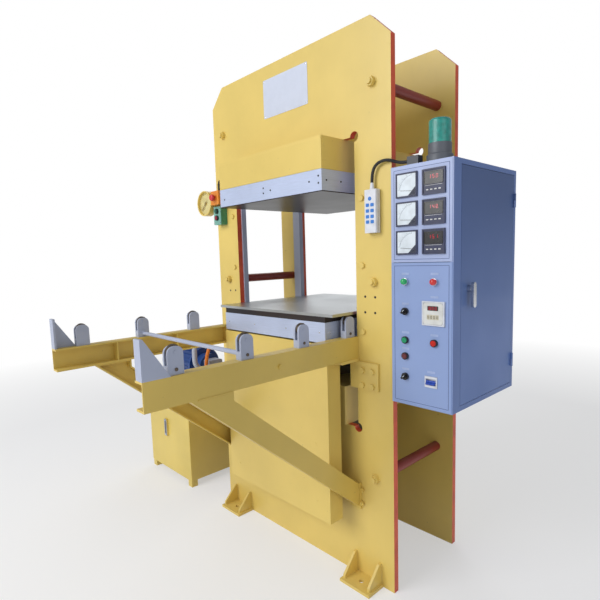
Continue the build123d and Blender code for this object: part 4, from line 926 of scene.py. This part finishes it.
# Hose and cable
def cord(name, route, radius, look, node, length, **facts):
    """A round cord on one smooth curve through the CAD route's points."""
    curve = bpy.data.curves.new(name, "CURVE")
    curve.dimensions = "3D"
    spline = curve.splines.new("NURBS")
    spline.points.add(len(route) - 1)
    spline.points.foreach_set("co", np.pad(np.array(route), ((0, 0), (0, 1)), constant_values=1.0).ravel())
    spline.order_u = 3
    spline.use_endpoint_u = True
    spline.resolution_u = 10
    curve.bevel_depth = radius
    curve.bevel_resolution = 6
    curve.use_fill_caps = True
    curve.materials.append(look.material)
    made = bpy.data.objects.new(name, curve)
    bpy.context.scene.collection.objects.link(made)
    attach(made, "frame")
    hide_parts(node)
    return made


hose_route = [
    hose_start, (-0.925, -0.225, 0.790), (-0.915, -0.212, 0.905), (-0.875, -0.180, 1.005),
    (-0.800, -0.140, 1.062), (-0.700, -0.108, 1.062), (-0.620, -0.084, 1.010), (-0.561, -0.066, 0.924),
    (-0.508, -0.060, 0.871), (-0.456, -0.060, 0.850), hose_end,
]
cord("oil_hose_cover", hose_route, 0.012, hose_cover, "oil_hose", 0.926,
     far_end="object", stiffness="stiff", lay="hanging", with_pieces=hose_ends)
cable_route = [
    (pendant_x, pendant_middle, 1.824), (pendant_x, pendant_middle, 1.864), (0.563, pendant_middle, 1.901),
    (0.618, pendant_middle, 1.908), (0.656, -0.262, 1.888), (0.700, -0.262, 1.888),
]
cord("pendant_cable_cover", cable_route, 0.0065, black_rubber, "pendant_cable", 0.228,
     far_end="object", stiffness="limp", lay="hanging")


# Floor, light and backdrop
def studio():
    """A pale floor that fades into a white backdrop, three broad soft lamps and an even sky."""
    look = Look("studio_floor", None)
    seen = look.add("ShaderNodeLightPath", {}, {}, "Is Camera Ray")
    shine = look.add("ShaderNodeLightPath", {}, {}, "Is Glossy Ray")
    far = look.maths("SQRT", look.across * look.across + look.along * look.along).rising(3.2, 6.5)
    matte = look.add("ShaderNodeBsdfDiffuse", {}, {"Color": (0.86, 0.86, 0.87, 1)})
    bright = look.add("ShaderNodeEmission", {}, {"Color": (1, 1, 1, 1), "Strength": 1.0})
    share = (0.45 + 0.55 * far) * look.maths("MAXIMUM", seen, shine)
    look.close(look.add("ShaderNodeMixShader", {}, {0: share, 1: matte, 2: bright}))
    size = 14.0
    mesh = bpy.data.meshes.new("studio_floor")
    corners = [(-size, -size, 0), (size, -size, 0), (size, size, 0), (-size, size, 0)]
    mesh.from_pydata(corners, [], [[0, 1, 2, 3]])
    mesh.materials.append(look.material)
    floor = bpy.data.objects.new("studio_floor", mesh)
    bpy.context.scene.collection.objects.link(floor)

    world = bpy.data.worlds.new("studio")
    world.use_nodes = True
    tree = world.node_tree
    tree.nodes.clear()
    path = tree.nodes.new("ShaderNodeLightPath")
    either = tree.nodes.new("ShaderNodeMath")
    either.operation = "MAXIMUM"
    tree.links.new(path.outputs["Is Camera Ray"], either.inputs[0])
    tree.links.new(path.outputs["Is Transmission Ray"], either.inputs[1])
    sky, white = tree.nodes.new("ShaderNodeBackground"), tree.nodes.new("ShaderNodeBackground")
    sky.inputs[0].default_value, sky.inputs[1].default_value = (0.95, 0.97, 1.0, 1), 0.40
    white.inputs[0].default_value, white.inputs[1].default_value = (1, 1, 1, 1), 1.0
    mix, output = tree.nodes.new("ShaderNodeMixShader"), tree.nodes.new("ShaderNodeOutputWorld")
    tree.links.new(either.outputs[0], mix.inputs[0])
    tree.links.new(sky.outputs[0], mix.inputs[1])
    tree.links.new(white.outputs[0], mix.inputs[2])
    tree.links.new(mix.outputs[0], output.inputs[0])
    bpy.context.scene.world = world

    for name, place, aim, side, power in (
        ("key_lamp", (-1.2, -5.6, 3.8), (0, -0.3, 1.2), 3.6, 215),
        ("fill_lamp", (5.0, -1.8, 3.0), (0.3, 0, 1.2), 3.0, 26),
        ("back_lamp", (-3.4, 3.8, 4.4), (0, 0, 1.4), 3.0, 60),
    ):
        light = bpy.data.lights.new(name, "AREA")
        light.shape, light.size, light.energy = "SQUARE", side, power
        lamp = bpy.data.objects.new(name, light)
        look_at = (Vector(aim) - Vector(place)).to_track_quat("-Z", "Y")
        lamp.matrix_world = Matrix.Translation(place) @ look_at.to_matrix().to_4x4()
        bpy.context.scene.collection.objects.link(lamp)


studio()
bpy.context.scene.view_settings.view_transform = "Standard"
